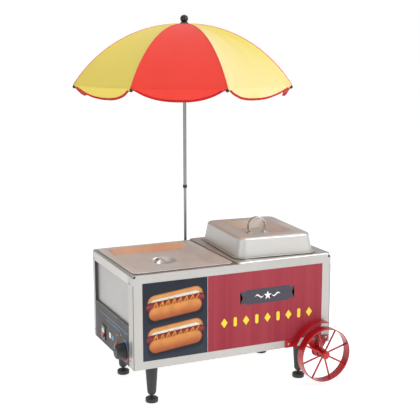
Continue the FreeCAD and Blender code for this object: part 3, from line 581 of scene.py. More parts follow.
def arc_point(t, offset=0.0):
    """(r, z) at t 0..1 from pivot to tip, offset outwards."""
    angle = -ARC_HALF + 2 * ARC_HALF * t
    out_r = math.sin(angle) * CHORD_R + math.cos(angle) * BOW_R
    out_z = math.sin(angle) * CHORD_Z + math.cos(angle) * BOW_Z
    return ARC_R + (ARC_RADIUS + offset) * out_r, ARC_Z + (ARC_RADIUS + offset) * out_z


def arc_direction(t):
    angle = -ARC_HALF + 2 * ARC_HALF * t
    return (math.cos(angle) * CHORD_R - math.sin(angle) * BOW_R,
            math.cos(angle) * CHORD_Z - math.sin(angle) * BOW_Z)


def rib_angle(rib):
    return math.radians(RIB_START + RIB_STEP * rib)


def rib_axes(rib):
    """Unit vectors out from the pole along the rib, and level across it."""
    angle = rib_angle(rib)
    return (Vector((math.cos(angle), math.sin(angle), 0)),
            Vector((-math.sin(angle), math.cos(angle), 0)))


def at_rib(rib, t, offset):
    r, z = arc_point(t, offset)
    angle = rib_angle(rib)
    return place(POLE_X + r * math.cos(angle), POLE_Y + r * math.sin(angle), z)


def fold_with_rib(obj, rib):
    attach(obj, "rib_%d" % (rib + 1))
    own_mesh(obj)


# ------------------------------------------------------------------ canopy cloth
RIPPLE_PHASES = np.random.default_rng(7).uniform(0, 6.28, (RIB_COUNT, 6))


def bell(x, centre, width):
    return math.exp(-((x - centre) / width) ** 2)


def cloth_rise(w, t, phases):
    """Wrinkles less sag, in mm, at w -1..1 from rib to rib and t 0..1 down the rib."""
    dip = 1 - w * w
    from_rib = 1 - abs(w)
    # drawn tight along the ribs, settling a little between them
    sag = 5.0 * dip * math.sin(math.pi * t ** 1.15) + 1.8 * dip * t
    # puckers at the top, ripples half way down, creases at the rib tips, a slow slack wave
    pucker = 0.95 * bell(t, 0.02, 0.16) * dip * math.sin(7 * w * 2.2 + phases[0])
    ripple = 0.35 * dip * math.sin(10.5 * w + phases[5]) * bell(t, 0.45, 0.3)
    near_tip = bell(from_rib, 0.0, 0.20) * max(0.0, (t - 0.55) / 0.45)
    crease = (1.5 * near_tip * from_rib / 0.20
              * math.sin(18 * (1 - t) + 14 * abs(w) + phases[1]))
    slack = 0.5 * dip * math.sin(3.1 * w + 2.6 * t + phases[2]) * t
    return pucker + ripple + crease + slack - sag


def gore_point(gore, u, s):
    """Outer face of a gore in mm from the pole: u 0..1 from rib to rib,
    s 0..1 down the rib and 1..2 down the hanging edge."""
    angle0 = rib_angle(gore)
    angle1 = angle0 + math.radians(RIB_STEP)
    middle = (angle0 + angle1) / 2
    w = 2 * u - 1
    radial = np.array([math.cos(middle), math.sin(middle), 0.0])
    t = CLOTH_START + (1 - CLOTH_START) * min(s, 1.0)
    r, z = arc_point(t, CLOTH_OFFSET)
    edge0 = np.array([r * math.cos(angle0), r * math.sin(angle0), z])
    edge1 = np.array([r * math.cos(angle1), r * math.sin(angle1), z])
    dir_r, dir_z = arc_direction(t)
    normal = radial * (-dir_z) + np.array([0, 0, dir_r])
    normal = normal / np.linalg.norm(normal)
    phases = RIPPLE_PHASES[gore]
    point = edge0 + (edge1 - edge0) * u + normal * cloth_rise(w, t, phases)
    if s > 1.0:
        # turn over a soft fold, then hang down and inwards
        drop = s - 1.0
        length = SCALLOP * (1 - abs(w) ** 2.5) * drop
        down = radial * -0.40 + np.array([0, 0, -0.9165])
        along = radial * dir_r + np.array([0, 0, dir_z])
        fold = 3.0
        point = point + down * length + along * (fold * (1 - math.exp(-length / fold)) * 0.35)
        wave = (1.6 * math.sin(7.0 * w + phases[3]) * drop
                + 0.8 * math.sin(19 * w + phases[4]) * drop * drop)
        point = point + radial * (wave * (1 - w * w))
    return point


def build_gore(gore):
    """Points and outward normals of a whole gore, so its two halves shade as one cloth."""
    stations = [i / RIB_ROWS for i in range(RIB_ROWS + 1)]
    stations += [1 + i / HANG_ROWS for i in range(1, HANG_ROWS + 1)]
    points = np.array([[gore_point(gore, j / GORE_COLS, s) for j in range(GORE_COLS + 1)]
                       for s in stations])
    normals = np.cross(np.gradient(points, axis=1), np.gradient(points, axis=0))
    length = np.linalg.norm(normals, axis=2, keepdims=True)
    normals = np.where(length > 1e-6, normals / np.maximum(length, 1e-9), 0)
    if normals[RIB_ROWS // 2, GORE_COLS // 2, 2] < 0:
        normals = -normals
    # the hanging edge has no depth at the rib tips, so it borrows the normal above
    for i, j in np.argwhere(length[..., 0] <= 1e-6):
        normals[i, j] = normals[min(i, RIB_ROWS - 1), j]
    return points + POLE_AXIS, normals


def half_columns(half):
    middle = GORE_COLS // 2
    return list(range(0, middle + 1) if half == 0 else range(middle, GORE_COLS + 1))


def cloth_half(name, half, points, normals, mat):
    """Half a gore as cloth of even thickness, open along its two sides."""
    columns = half_columns(half)
    rows, cols = len(points), len(columns)
    outer = points[:, columns]
    outward = normals[:, columns]
    inner = outer - outward * CLOTH_THICK
    verts = [place(*p) for p in outer.reshape(-1, 3)]
    verts += [place(*p) for p in inner.reshape(-1, 3)]
    vert_normals = [Vector(n) for n in outward.reshape(-1, 3)]
    vert_normals += [-n for n in vert_normals]
    under = rows * cols
    faces = []
    for i in range(rows - 1):
        for j in range(cols - 1):
            a, b = i * cols + j, i * cols + j + 1
            c, d = b + cols, a + cols
            faces.append((a, d, c, b))
            faces.append((under + a, under + b, under + c, under + d))
    for j in range(cols - 1):           # top edge and hem
        a, b = j, j + 1
        faces.append((a, b, under + b, under + a))
        a, b = a + (rows - 1) * cols, b + (rows - 1) * cols
        faces.append((b, a, under + a, under + b))
    obj = make_object(name, verts, faces, mat)
    up = Vector((0, 0, 1))
    obj.data.normals_split_custom_set_from_vertices(
        [n.normalized() if n.length > 0 else up for n in vert_normals])
    return obj


def ribbon(name, rows, thick, mat):
    """A narrow strip of webbing; rows are (points across, outward normal)."""
    sink = 0.2 * MM                     # underside set into the cloth
    count, across = len(rows), len(rows[0][0])
    verts = [Vector(p) + normal * thick for points, normal in rows for p in points]
    verts += [Vector(p) - normal * sink for points, normal in rows for p in points]
    under = count * across
    faces = []
    for i in range(count - 1):
        for j in range(across - 1):
            a, b = i * across + j, i * across + j + 1
            c, d = b + across, a + across
            faces.append((a, b, c, d))
            faces.append((under + a, under + d, under + c, under + b))
        a, d = i * across, (i + 1) * across
        faces.append((a, d, under + d, under + a))
        a, d = a + across - 1, d + across - 1
        faces.append((a, under + a, under + d, d))
    for i in (0, count - 1):
        for j in range(across - 1):
            a, b = i * across + j, i * across + j + 1
            faces.append((a, under + a, under + b, b) if i == 0
                         else (a, b, under + b, under + a))
    obj = make_object(name, verts, faces, mat)
    fix_normals(obj)
    return obj


def hem_rows(half, points, normals):
    """Rows of the binding, from just below the hem to its width up the cloth."""
    width = 7.2
    rows = []
    for j in half_columns(half):
        hem = points[-1, j]
        up = points[-2, j] - hem
        length = np.linalg.norm(up)
        if length < 0.8:                # too short near the tips: take the rib's direction
            up = points[RIB_ROWS - 1, j] - hem
            length = np.linalg.norm(up)
        up = up / max(length, 1e-6)
        normal_row = -1 if abs(2 * j / GORE_COLS - 1) < 0.93 else RIB_ROWS - 1
        normal = Vector(normals[normal_row, j])
        normal.normalize()
        row = [place(*(hem + up * q)) for q in (-0.5, 0.0, width * 0.5, width)]
        row[0] = row[0] - normal * (0.6 * MM)
        rows.append((row, normal))
    return rows


def add_hem_binding(label, rib, rows):
    inner_rows = [([p - normal * (CLOTH_THICK * MM) for p in row], -normal)
                  for row, normal in rows]
    thick = 0.6 * MM
    strips = [ribbon("hem_binding_" + label, rows, thick, MATS["binding"]),
              ribbon("hem_binding_in_" + label, inner_rows, thick, MATS["binding"])]
    for strip in strips:
        fold_with_rib(strip, rib)


def add_gore(gore):
    """Two halves, each folding with its own rib, and the binding round their hem."""
    points, normals = build_gore(gore)
    tone = "red" if gore % 2 == 1 else "yellow"
    for half in (0, 1):
        rib = (gore + half) % RIB_COUNT
        label = "%d%s" % (gore + 1, "ab"[half])
        cloth = cloth_half("canopy_%s_%s" % (tone, label), half, points, normals,
                           MATS[tone + "_fabric"])
        cloth["half"] = half
        fold_with_rib(cloth, rib)
        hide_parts("canopy_%s_panels" % tone)
        add_hem_binding(label, rib, hem_rows(half, points, normals))


def add_seam(rib):
    """Narrow raised seam along the cloth over a rib."""
    radial, tangent = rib_axes(rib)
    half_width = 1.9 * MM
    edge_drop = 0.7 * MM
    crest = 0.3 * MM
    count = 60
    rows = []
    for i in range(count):
        t = 0.01 + 0.985 * i / (count - 1)
        dir_r, dir_z = arc_direction(t)
        normal = (radial * (-dir_z) + Vector((0, 0, dir_r))).normalized()
        centre = at_rib(rib, t, CLOTH_OFFSET)
        rows.append(([centre - tangent * half_width - normal * edge_drop,
                      centre - tangent * (half_width * 0.5),
                      centre + normal * crest,
                      centre + tangent * (half_width * 0.5),
                      centre + tangent * half_width - normal * edge_drop], normal))
    seam = ribbon("canopy_seam_%d" % (rib + 1), rows, 0.4 * MM, MATS["red_fabric"])
    fold_with_rib(seam, rib)


# sleeve on the rib's end: (distance past the tip, radius)
SLEEVE = [(-17.0, 1.62), (-16.6, 2.3), (-12.0, 2.5), (-3.0, 2.9), (-1.0, 3.1)]
BALL_CENTRE, BALL_RADIUS = 4.0, 5.35


def add_rib_tip(rib):
    """Black sleeve over the wire's end, then a ball."""
    radial, tangent = rib_axes(rib)
    dir_r, dir_z = arc_direction(1.0)
    outward = (radial * dir_r + Vector((0, 0, dir_z))).normalized()
    normal = outward.cross(tangent).normalized()
    tip = at_rib(rib, 1.0, 0.0)
    profile = list(SLEEVE)
    for i in range(13):
        angle = math.radians(150 - 150 * i / 12.0)
        profile.append((BALL_CENTRE + BALL_RADIUS * math.cos(angle),
                        max(0.02, BALL_RADIUS * math.sin(angle))))
    sides = 20
    verts = []
    for along, radius in profile:
        for i in range(sides):
            angle = 2 * math.pi * i / sides
            spoke = tangent * math.cos(angle) + normal * math.sin(angle)
            verts.append(tip + outward * (along * MM) + spoke * (radius * MM))
    obj = make_object("rib_tip_%d" % (rib + 1), verts, ring_faces(len(profile), sides),
                      MATS["gloss_black"])
    fix_normals(obj)
    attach(obj, "rib_%d" % (rib + 1))


for gore in range(RIB_COUNT):
    add_gore(gore)
for rib in range(RIB_COUNT):
    add_seam(rib)
    add_rib_tip(rib)


# ------------------------------------------------------------------ painted picture
# Drawn in thousandths of the picture's width, x to the right and y downwards.
# A bar is the centre line (x0, y0, x1, y1) of a round-ended shape.
CANVAS_WIDTH, CANVAS_HEIGHT = 1000.0, 1143.0
DOG_LEFT, DOG_RIGHT = 190.0, 810.0
DOG_RISE = 34.0                         # half the climb from left to right
DOG_CENTRES = (330.0, 810.0)


def srgb(code):
    return np.array(hex_rgb(code))


def blend(first, second, amount):
    return first * (1 - amount[..., None]) + second * amount[..., None]


def smooth_step(x, start, end):
    t = np.clip((x - start) / (end - start), 0, 1)
    return t * t * (3 - 2 * t)


def field(x, y, scale, seed):
    """Smooth value noise in three octaves."""
    rng = np.random.default_rng(seed)
    total = np.zeros(x.shape)
    strength = 1.0
    for _ in range(3):
        grid = rng.uniform(-1, 1, (64, 64))
        across, down = x / scale, y / scale
        col, row = np.floor(across).astype(int), np.floor(down).astype(int)
        fx, fy = across - col, down - row
        fx, fy = fx * fx * (3 - 2 * fx), fy * fy * (3 - 2 * fy)
        col0, col1 = col % 64, (col + 1) % 64
        row0, row1 = row % 64, (row + 1) % 64
        upper = grid[col0, row0] * (1 - fx) + grid[col1, row0] * fx
        lower = grid[col0, row1] * (1 - fx) + grid[col1, row1] * fx
        total += strength * (upper * (1 - fy) + lower * fy)
        strength *= 0.5
        scale = scale / 2
    return total / 1.75


def to_bar(x, y, bar):
    """Distance to a bar's centre line, and how far along it (0..1)."""
    x0, y0, x1, y1 = bar
    dx, dy = x1 - x0, y1 - y0
    t = np.clip(((x - x0) * dx + (y - y0) * dy) / (dx * dx + dy * dy), 0, 1)
    return np.hypot(x - (x0 + t * dx), y - (y0 + t * dy)), t


def over_bar(x, y, bar, radius):
    """Distance to the centre line, and signed distance to its upper side, in radii."""
    x0, y0, x1, y1 = bar
    distance, t = to_bar(x, y, bar)
    length = math.hypot(x1 - x0, y1 - y0)
    up_x, up_y = (y1 - y0) / length, -(x1 - x0) / length
    side = ((x - (x0 + t * (x1 - x0))) * up_x + (y - (y0 + t * (y1 - y0))) * up_y) / radius
    return distance / radius, side


def paint_bun(img, x, y, bar, radius, top, bottom, seed):
    """Half a bun: a rounded bar, lit from above and darker round its rim."""
    reach, side = over_bar(x, y, bar, radius)
    color = blend(srgb(bottom), srgb(top), smooth_step(side, -0.95, 0.55))
    broad, fine = field(x, y, 90.0, seed), field(x, y, 18.0, seed + 3)
    color = color * (1 + 0.06 * broad[..., None] + 0.03 * fine[..., None])
    color = blend(color, srgb("#7a4226"), 0.45 * smooth_step(reach, 0.78, 1.0))
    return blend(img, color, smooth_step(reach, 1.02, 0.98))


def paint_sausage(img, x, y, bar, seed):
    reach, side = over_bar(x, y, bar, radius=76)
    color = blend(srgb("#86303a"), srgb("#381523"), smooth_step(-side, 0.15, 0.95))
    gloss = 0.55 * np.exp(-((side - 0.30) / 0.30) ** 2)
    color = blend(color, srgb("#b25a60"), gloss)
    color = color * (1 + 0.10 * field(x, y, 60.0, seed)[..., None])
    color = blend(color, srgb("#24121f"), 0.55 * smooth_step(reach, 0.80, 1.0))
    return blend(img, color, smooth_step(reach, 1.05, 0.99))


def mustard_line(bar, turns, swing, seed):
    """Points of a rounded, slightly uneven zigzag along a bar."""
    x0, y0, x1, y1 = bar
    length = math.hypot(x1 - x0, y1 - y0)
    along_x, along_y = (x1 - x0) / length, (y1 - y0) / length
    up_x, up_y = along_y, -along_x
    rng = np.random.default_rng(seed)
    corners = []
    for i in range(turns + 1):
        side = 1 if i % 2 else -1
        reach = swing * (0.70 + 0.42 * rng.random())
        lean = 0.32 * length / turns * side
        along = length * (i / turns) + lean
        corners.append((x0 + along_x * along + up_x * reach * side,
                        y0 + along_y * along + up_y * reach * side))
    line = []
    for i, ((ax, ay), (bx, by)) in enumerate(zip(corners, corners[1:])):
        for j in range(8):
            f = j / 8
            eased = 0.35 * f + 0.65 * (f * f * (3 - 2 * f))
            line.append((ax + (bx - ax) * eased + 3 * math.sin(3 * i + 5 * f),
                         ay + (by - ay) * eased + 3 * math.cos(2 * i + 4 * f)))
    line.append(corners[-1])
    return line


def paint_mustard(img, x, y, bar, seed):
    line = mustard_line(bar, turns=15, swing=50, seed=seed)
    nearest = np.full(x.shape, 1e9)
    for start, end in zip(line, line[1:]):
        nearest = np.minimum(nearest, to_bar(x, y, (*start, *end))[0])
    width = 15.0 * (1 + 0.18 * field(x, y, 45.0, seed + 5))
    shadow = smooth_step(nearest, width * 1.7, width * 0.7) * 0.55
    img = blend(img, srgb("#3a1218"), shadow)
    reach = nearest / width
    color = blend(srgb("#d9811d"), srgb("#b4560f"), smooth_step(reach, 0.35, 1.0))
    light = 0.85 * smooth_step(reach, 0.55, 0.0) * (0.55 + 0.45 * field(x, y, 30.0, seed + 9))
    color = blend(color, srgb("#f4b43a"), light)
    glint = (smooth_step(field(x, y, 38.0, seed + 11), 0.28, 0.6)
             * smooth_step(reach, 0.5, 0.1))
    color = blend(color, srgb("#fff2c9"), 0.85 * glint)
    return blend(img, color, smooth_step(nearest, width * 1.06, width * 0.86))


def paint_hot_dog(img, x, y, centre, index):
    def bar(shift, extend=0.0):
        """The hot dog's line, moved down and made longer at both ends."""
        return (DOG_LEFT - extend, centre + DOG_RISE + shift,
                DOG_RIGHT + extend, centre - DOG_RISE + shift)

    distance, _ = to_bar(x, y, bar(150, extend=20))
    img = blend(img, srgb("#171a21"), 0.55 * smooth_step(distance / 120.0, 1.15, 0.55))
    # upper half, its pale cut face, the filling, then the lower half
    img = paint_bun(img, x, y, bar(-62), 118, "#e6a25c", "#c97c40", 31 + index)
    img = paint_bun(img, x, y, bar(-34), 92, "#efe3d2", "#dcc9ae", 41 + index)
    img = paint_sausage(img, x, y, bar(4, extend=70), 51 + index)
    img = paint_mustard(img, x, y, bar(-10, extend=40), 61 + index)
    return paint_bun(img, x, y, bar(96), 100, "#e29a58", "#b9663f", 71 + index)


def paint_picture(across, down):
    """sRGB colours of two hot dogs, one above the other, at 0..1 across and down."""
    x, y = CANVAS_WIDTH * across, CANVAS_HEIGHT * down
    img = blend(srgb("#2c313c"), srgb("#3b4250"), smooth_step(y, 200, 1143))
    img = img * (1 + 0.06 * field(x, y, 150.0, 1)[..., None])
    for index, centre in enumerate(DOG_CENTRES):
        img = paint_hot_dog(img, x, y, centre, index)
    return np.clip(img * 0.97, 0, 1) ** 1.08


# ------------------------------------------------------------------ front panels
def panel_grid(name, x0, x1, cols, rows, mat):
    """Sheet standing before the front, its face a grid, its rim turned back to the steel."""
    verts, faces = [], []
    for i in range(cols + 1):
        for j in range(rows + 1):
            verts.append(place(x0 + (x1 - x0) * i / cols, -PANEL_THICK,
                               PANEL_BOTTOM + (PANEL_TOP - PANEL_BOTTOM) * j / rows))
    step = rows + 1
    for i in range(cols):
        for j in range(rows):
            a = i * step + j
            faces.append((a, a + step, a + step + 1, a + 1))
    rim = [i * step for i in range(cols + 1)]
    rim += [cols * step + j for j in range(1, rows + 1)]
    rim += [i * step + rows for i in range(cols - 1, -1, -1)]
    rim += list(range(rows - 1, 0, -1))
    back = len(verts)
    for i in rim:
        vert = verts[i].copy()
        vert.y = ORIGIN.y
        verts.append(vert)
    for i in range(len(rim)):
        j = (i + 1) % len(rim)
        faces.append((rim[j], rim[i], back + i, back + j))
    obj = make_object(name, verts, faces, mat, smooth=False)
    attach(obj, "cabinet")
    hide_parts("front_graphic")
    return obj


def store_picture(mesh):
    """Store the painted colours, made linear, on the mesh's points."""
    flat = np.zeros(len(mesh.vertices) * 3)
    mesh.vertices.foreach_get("co", flat)
    points = flat.reshape(-1, 3)
    x = (points[:, 0] - ORIGIN.x) / MM
    z = points[:, 2] / MM
    img = paint_picture((x - PANEL_LEFT) / (SPLIT_X - PANEL_LEFT),
                        (PANEL_TOP - z) / (PANEL_TOP - PANEL_BOTTOM))
    rgb = np.where(img <= 0.04045, img / 12.92, ((img + 0.055) / 1.055) ** 2.4)
    rgba = np.hstack([rgb, np.ones((len(rgb), 1))])
    layer = mesh.color_attributes.new("paint", "FLOAT_COLOR", "POINT")
    layer.data.foreach_set("color", rgba.astype(np.float32).ravel())


picture_cols, picture_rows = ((206, 236))
picture = panel_grid("front_picture", PANEL_LEFT, SPLIT_X, picture_cols, picture_rows,
                     MATS["picture"])
store_picture(picture.data)
panel_grid("front_sign", SIGN_LEFT, PANEL_RIGHT, 132, 78, MATS["boards"])


# ------------------------------------------------------------------ flat prints
def decal(name, outlines, depths, mat, plane="front", body="cabinet"):
    """Thin raised print standing between two depths out of a wall. Outline points are
    (x, z) on the front and (y, z) on the left end."""
    def at(a, z, depth):
        return place(a, -depth, z) if plane == "front" else place(-depth, a, z)

    bm = bmesh.new()
    for points in outlines:
        top = [bm.verts.new(at(a, z, depths[1])) for a, z in points]
        bottom = [bm.verts.new(at(a, z, depths[0])) for a, z in points]
        bm.faces.new(top)
        for i in range(len(points)):
            j = (i + 1) % len(points)
            bm.faces.new((top[i], bottom[i], bottom[j], top[j]))
    bmesh.ops.triangulate(bm, faces=[f for f in bm.faces if len(f.verts) > 4])
    bmesh.ops.recalc_face_normals(bm, faces=bm.faces)
    mesh = bpy.data.meshes.new(name)
    bm.to_mesh(mesh)
    bm.free()
    obj = bpy.data.objects.new(name, mesh)
    bpy.context.scene.collection.objects.link(obj)
    mesh.materials.append(mat)
    # the back is open, so make sure that the print faces out
    outward = Vector((0, -1, 0)) if plane == "front" else Vector((-1, 0, 0))
    largest = max(mesh.polygons, key=lambda p: p.area)
    if largest.normal.dot(outward) < 0:
        mesh.flip_normals()
    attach(obj, body)


def rect(a0, a1, z0, z1):
    return [(a0, z0), (a1, z0), (a1, z1), (a0, z1)]


def star(centre_x, centre_z, outer, inner, tips=5):
    points = []
    for i in range(2 * tips):
        radius = outer if i % 2 == 0 else inner
        angle = math.radians(90.0 + 180.0 * i / tips)
        points.append((centre_x + radius * math.cos(angle), centre_z + radius * math.sin(angle)))
    return points


def diamond(x, z, width, height):
    """Diamond with eight points along each side."""
    corners = [(x + width / 2, z), (x, z + height / 2), (x - width / 2, z), (x, z - height / 2)]
    points = []
    for i in range(4):
        (ax, az), (bx, bz) = corners[i], corners[(i + 1) % 4]
        points += [(ax + (bx - ax) * j / 8, az + (bz - az) * j / 8) for j in range(8)]
    return points


def stadium(x, z, width, height, steps=14):
    """Upright bar with round ends."""
    radius = width / 2
    points = []
    for start, middle in ((0.0, z + height / 2 - radius), (math.pi, z - height / 2 + radius)):
        for i in range(steps + 1):
            angle = start + math.pi * i / steps
            points.append((x + radius * math.cos(angle), middle + radius * math.sin(angle)))
    return points


def swash(centre_x, direction):
    """S-shaped stroke, thick in the middle; direction -1 mirrors it."""
    centre_z, length, height = 307.5, 30, 4.2
    upper, lower = [], []
    for i in range(25):
        f = i / 24
        x = centre_x + (f - 0.5) * length * direction
        z = centre_z + height * math.sin(2 * math.pi * f)
        half_thick = 2.4 * math.sin(math.pi * f) ** 0.7 + 0.25
        upper.append((x, z + half_thick))
        lower.append((x, z - half_thick))
    return upper + lower[::-1]


def on_panel(start, end):
    return PANEL_THICK + start, PANEL_THICK + end


decal("print_split_line", [rect(SPLIT_X, SIGN_LEFT, PANEL_BOTTOM, PANEL_TOP)],
      (0.0, PANEL_THICK + 0.02), MATS["split_ink"])
# ribbon with two notched tails, as (x, z)
TAIL_LEFT = [(372, 288.4), (372, 326.6), (345.5, 326.6), (354.5, 307.5), (345.5, 288.4)]
TAIL_RIGHT = [(508, 288.4), (533.5, 288.4), (525.0, 307.5), (533.5, 326.6), (508, 326.6)]
decal("print_ribbon_tails", [TAIL_LEFT, TAIL_RIGHT], on_panel(0, 0.10), MATS["navy"])
decal("print_ribbon", [rect(365, 515, 284.2, 331.3)], on_panel(0, 0.18), MATS["navy"])
decal("print_ribbon_marks",
      [star(440, 307.0, outer=14.5, inner=6.2), swash(411, 1), swash(469, -1)],
      on_panel(0.18, 0.28), MATS["white_ink"])

ROW_LEFT, ROW_PITCH, ROW_Z, ROW_HEIGHT = 292.0, 37.0, 236.0, 30.0
row_shapes = []
for i in range(9):
    x = ROW_LEFT + ROW_PITCH * i
    row_shapes.append(diamond(x, ROW_Z, 22.0, ROW_HEIGHT) if i % 2 == 0
                      else stadium(x, ROW_Z, 11.0, ROW_HEIGHT))
decal("print_fairground_row", row_shapes, on_panel(0.10, 0.22), MATS["yellow_ink"])


# ------------------------------------------------------------------ control panel print
def dial_point(radius, angle, side=0.0):
    """(y, z) round the dial, angle 0 towards the front and 90 degrees up;
    side moves the point square to the radius."""
    c, s = math.cos(angle), math.sin(angle)
    return DIAL_Y - (radius * c - side * s), DIAL_Z + radius * s + side * c


def dial_band(start, end, steps=28):
    """Arc band round the dial between two angles in degrees."""
    angles = [math.radians(start + (end - start) * i / steps) for i in range(steps + 1)]
    return ([dial_point(35.0, angle) for angle in angles]
            + [dial_point(29.5, angle) for angle in reversed(angles)])


def dial_tick(degrees):
    inner, outer, half_width = 30.0, 34.0, 0.5
    angle = math.radians(degrees)
    return [dial_point(inner, angle, half_width), dial_point(outer, angle, half_width),
            dial_point(outer, angle, -half_width), dial_point(inner, angle, -half_width)]


# name, ink, outlines as (y, z)
END_PRINTS = [
    ("print_dial_blue", "blue_ink", [dial_band(0, 100)]),
    ("print_dial_red", "red_ink", [dial_band(-78, 0)]),
    ("print_bars", "blue_ink", [rect(44, 318, 224.6, 226.4), rect(118, 250, 213.2, 215.0),
                                rect(60, 96, 219.0, 220.0)]),
    ("print_icon_white", "white_ink", [rect(209, 226, 163, 181),
                                       star(112, 205, outer=2.6, inner=1.4, tips=6),
                                       star(150, 192, outer=2.6, inner=1.4, tips=6)]),
    ("print_icon_pink", "red_ink", [rect(201, 208, 163, 181)]),
    ("print_icon_blue", "blue_ink", [rect(183, 199, 163, 178)]),
    ("print_dial_ticks", "white_ink", [dial_tick(d) for d in (-120, -90, 120, 150, 180)]),
]
for name, ink_key, outlines in END_PRINTS:
    decal(name, outlines, (0.0, 0.12), MATS[ink_key], plane="end")
decal("knob_mark", [rect(DIAL_Y - 1.0, DIAL_Y + 1.0, 176, 188.5)], (31.0, 31.2),
      MATS["white_ink"], plane="end", body="knob")


# ------------------------------------------------------------------ painted shadow bands under the lid rims, painted shade strips and a ledge strip
def rim_shadow(body, x, y, width, depth, radius, z0, z1, turn=0.0):
    """Dark band round a lid's rim, a painted shadow standing for the gap under the rim; x and y
    are its front left corner before the turn.
    """
    path = []                           # (x, y) of the corner's centre, (x, y) outwards
    for side_x, side_y, start in ((1, 1, 0), (-1, 1, 90), (-1, -1, 180), (1, -1, 270)):
        for i in range(9):
            angle = math.radians(start + 90 * i / 8)
            path.append((side_x * (width / 2 - radius), side_y * (depth / 2 - radius),
                         math.cos(angle), math.sin(angle)))
    cos_turn, sin_turn = math.cos(math.radians(turn)), math.sin(math.radians(turn))
    profile = [(-0.25, z0), (0.25, z0), (0.5, (z0 + z1) / 2), (0.25, z1), (-0.25, z1)]
    verts = []
    for offset, z in profile:
        for corner_x, corner_y, out_x, out_y in path:
            px = corner_x + out_x * (radius + offset)
            py = corner_y + out_y * (radius + offset)
            verts.append(place(x + width / 2 + px * cos_turn - py * sin_turn,
                               y + depth / 2 + px * sin_turn + py * cos_turn, z))
    sides = len(path)
    last = (len(profile) - 1) * sides
    faces = ring_faces(len(profile), sides)
    for i in range(sides):              # close the band's inner side
        j = (i + 1) % sides
        faces.append((last + i, last + j, j, i))
    obj = make_object(body + "_seal", verts, faces, MATS["rim_shadow"])
    fix_normals(obj)
    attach(obj, body)


def strip(name, x0, x1, y0, y1, z0, z1, mat):
    """Thin bar with its top and bottom edges eased."""
    ease = min(x1 - x0, y1 - y0, z1 - z0) * 0.2
    verts = []
    for z, inset in ((z0, ease), (z0 + ease, 0.0), (z1 - ease, 0.0), (z1, ease)):
        left, right = x0 + inset, x1 - inset
        front, rear = y0 + inset, y1 - inset
        verts += [place(left, front, z), place(right, front, z),
                  place(right, rear, z), place(left, rear, z)]
    faces = []
    for i in range(3):
        for j in range(4):
            k = (j + 1) % 4
            faces.append((i * 4 + j, i * 4 + k, i * 4 + 4 + k, i * 4 + 4 + j))
    faces += [(3, 2, 1, 0), (12, 13, 14, 15)]
    obj = make_object(name, verts, faces, mat, smooth=False)
    fix_normals(obj)
    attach(obj, "cabinet")


rim_shadow("flat_lid", x=7.0, y=13.0, width=325.0, depth=353.0, radius=18.0, z0=414.6, z1=416.4)
rim_shadow("dome_lid", x=358.5, y=20.0, width=279.0, depth=339.0, radius=34.0, z0=421.0, z1=422.2,
     turn=-4.0)

# The dark strips at the two front corners and on the recess's side wall are painted shade,
# standing for the shadow in the gaps between the sheets and in the recess.
# name, x0, x1, y0, y1, z0, z1, material
STRIPS = [
    ("corner_shadow_gap_left", 0.35, 1.9, -0.12, 0.3, 128, 384, "joint"),
    ("corner_shadow_gap_right", 662.1, 663.65, -0.12, 0.3, 128, 384, "joint"),
    ("recess_side_left", 0.6, 8.6, 361.75, 362.05, 250.5, 381, "joint"),
    ("fascia_ledge", 0.3, 8.6, 39.6, 361.0, 247.75, 248.25, "ledge"),
]
for name, *box, mat_key in STRIPS:
    strip(name, *box, MATS[mat_key])


# ------------------------------------------------------------------ stage (metres)
def add_floor():
    reach = 60
    corners = [(-reach, -reach, 0), (reach, -reach, 0), (reach, reach, 0), (-reach, reach, 0)]
    make_object("studio_floor", corners, [(0, 1, 2, 3)], MATS["floor"])


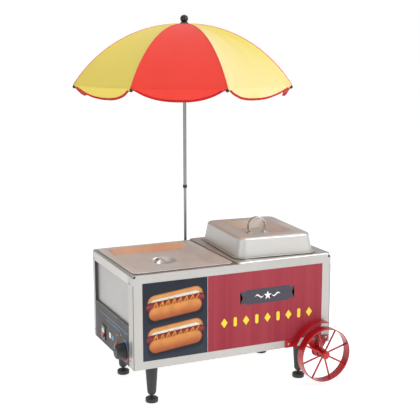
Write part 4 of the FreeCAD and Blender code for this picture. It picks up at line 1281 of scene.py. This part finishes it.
def add_world():
    """Plain white to the camera, soft grey bands to everything else."""
    world = bpy.data.worlds.new("studio")
    bpy.context.scene.world = world
    world.use_nodes = True
    tree = world.node_tree
    tree.nodes.clear()
    out = add_node(tree, "OutputWorld")
    direction = split_xyz(tree, add_node(tree, "TexCoord").outputs["Generated"])
    by_height = ramp(tree, remap(tree, direction["Z"], span=(-1, 1), to=(0, 1)),
                     [(0.0, (0.80, 0.80, 0.80)),
                      (0.47, (0.55, 0.55, 0.56)),
                      (0.56, (0.95, 0.95, 0.95)),
                      (0.72, (0.62, 0.62, 0.64)),
                      (1.0, (1.0, 1.0, 1.0))])
    by_side = ramp(tree, remap(tree, direction["X"], span=(-1, 1), to=(0, 1)),
                   [(0.0, (0.55, 0.55, 0.55)),
                    (0.35, (0.9, 0.9, 0.9)),
                    (0.65, (1, 1, 1)),
                    (1.0, (0.8, 0.8, 0.8))])
    bands = mix(tree, 1.0, by_height, by_side, mode="MULTIPLY")
    backdrop = add_node(tree, "Background")
    backdrop.inputs[0].default_value = (1, 1, 1, 1)
    backdrop.inputs[1].default_value = 1.0
    surround = add_node(tree, "Background")
    feed(tree, surround.inputs[0], bands)
    surround.inputs[1].default_value = 0.64
    light_path = add_node(tree, "LightPath")
    switch = add_node(tree, "MixShader")
    feed(tree, switch.inputs[0], light_path.outputs["Is Camera Ray"])
    feed(tree, switch.inputs[1], surround.outputs[0])
    feed(tree, switch.inputs[2], backdrop.outputs[0])
    feed(tree, out.inputs[0], switch.outputs[0])


def add_light(name, location, target, size, power):
    light = bpy.data.lights.new(name, "AREA")
    light.shape = "RECTANGLE"
    light.size = size
    light.size_y = size
    light.energy = power
    obj = bpy.data.objects.new(name, light)
    bpy.context.scene.collection.objects.link(obj)
    obj.location = location
    aim = Vector(target) - Vector(location)
    obj.rotation_euler = aim.to_track_quat("-Z", "Y").to_euler()


def add_camera():
    """Looks from the front left, a little above."""
    camera = bpy.data.cameras.new("camera")
    obj = bpy.data.objects.new("camera", camera)
    bpy.context.scene.collection.objects.link(obj)
    camera.lens = 79.82
    camera.sensor_width = 36.0
    azimuth, elevation = math.radians(-24.42), math.radians(10.70)
    backwards = Vector((math.sin(azimuth) * math.cos(elevation),
                        -math.cos(azimuth) * math.cos(elevation),
                        math.sin(elevation)))
    obj.location = (-1.20084, -2.80561, 1.098)
    obj.rotation_euler = backwards.to_track_quat("Z", "Y").to_euler()
    bpy.context.scene.camera = obj


add_floor()
add_world()
add_light("key_light", location=(1.7, -2.6, 2.3), target=(0, 0, 0.5), size=1.6, power=45)
add_light("fill_light", location=(-2.6, -1.6, 1.5), target=(0, 0, 0.4), size=2.0, power=12)
add_light("top_light", location=(0.1, 0.3, 3.2), target=(0, 0, 0.4), size=2.4, power=24)
add_camera()
bpy.context.scene.view_settings.view_transform = "Standard"
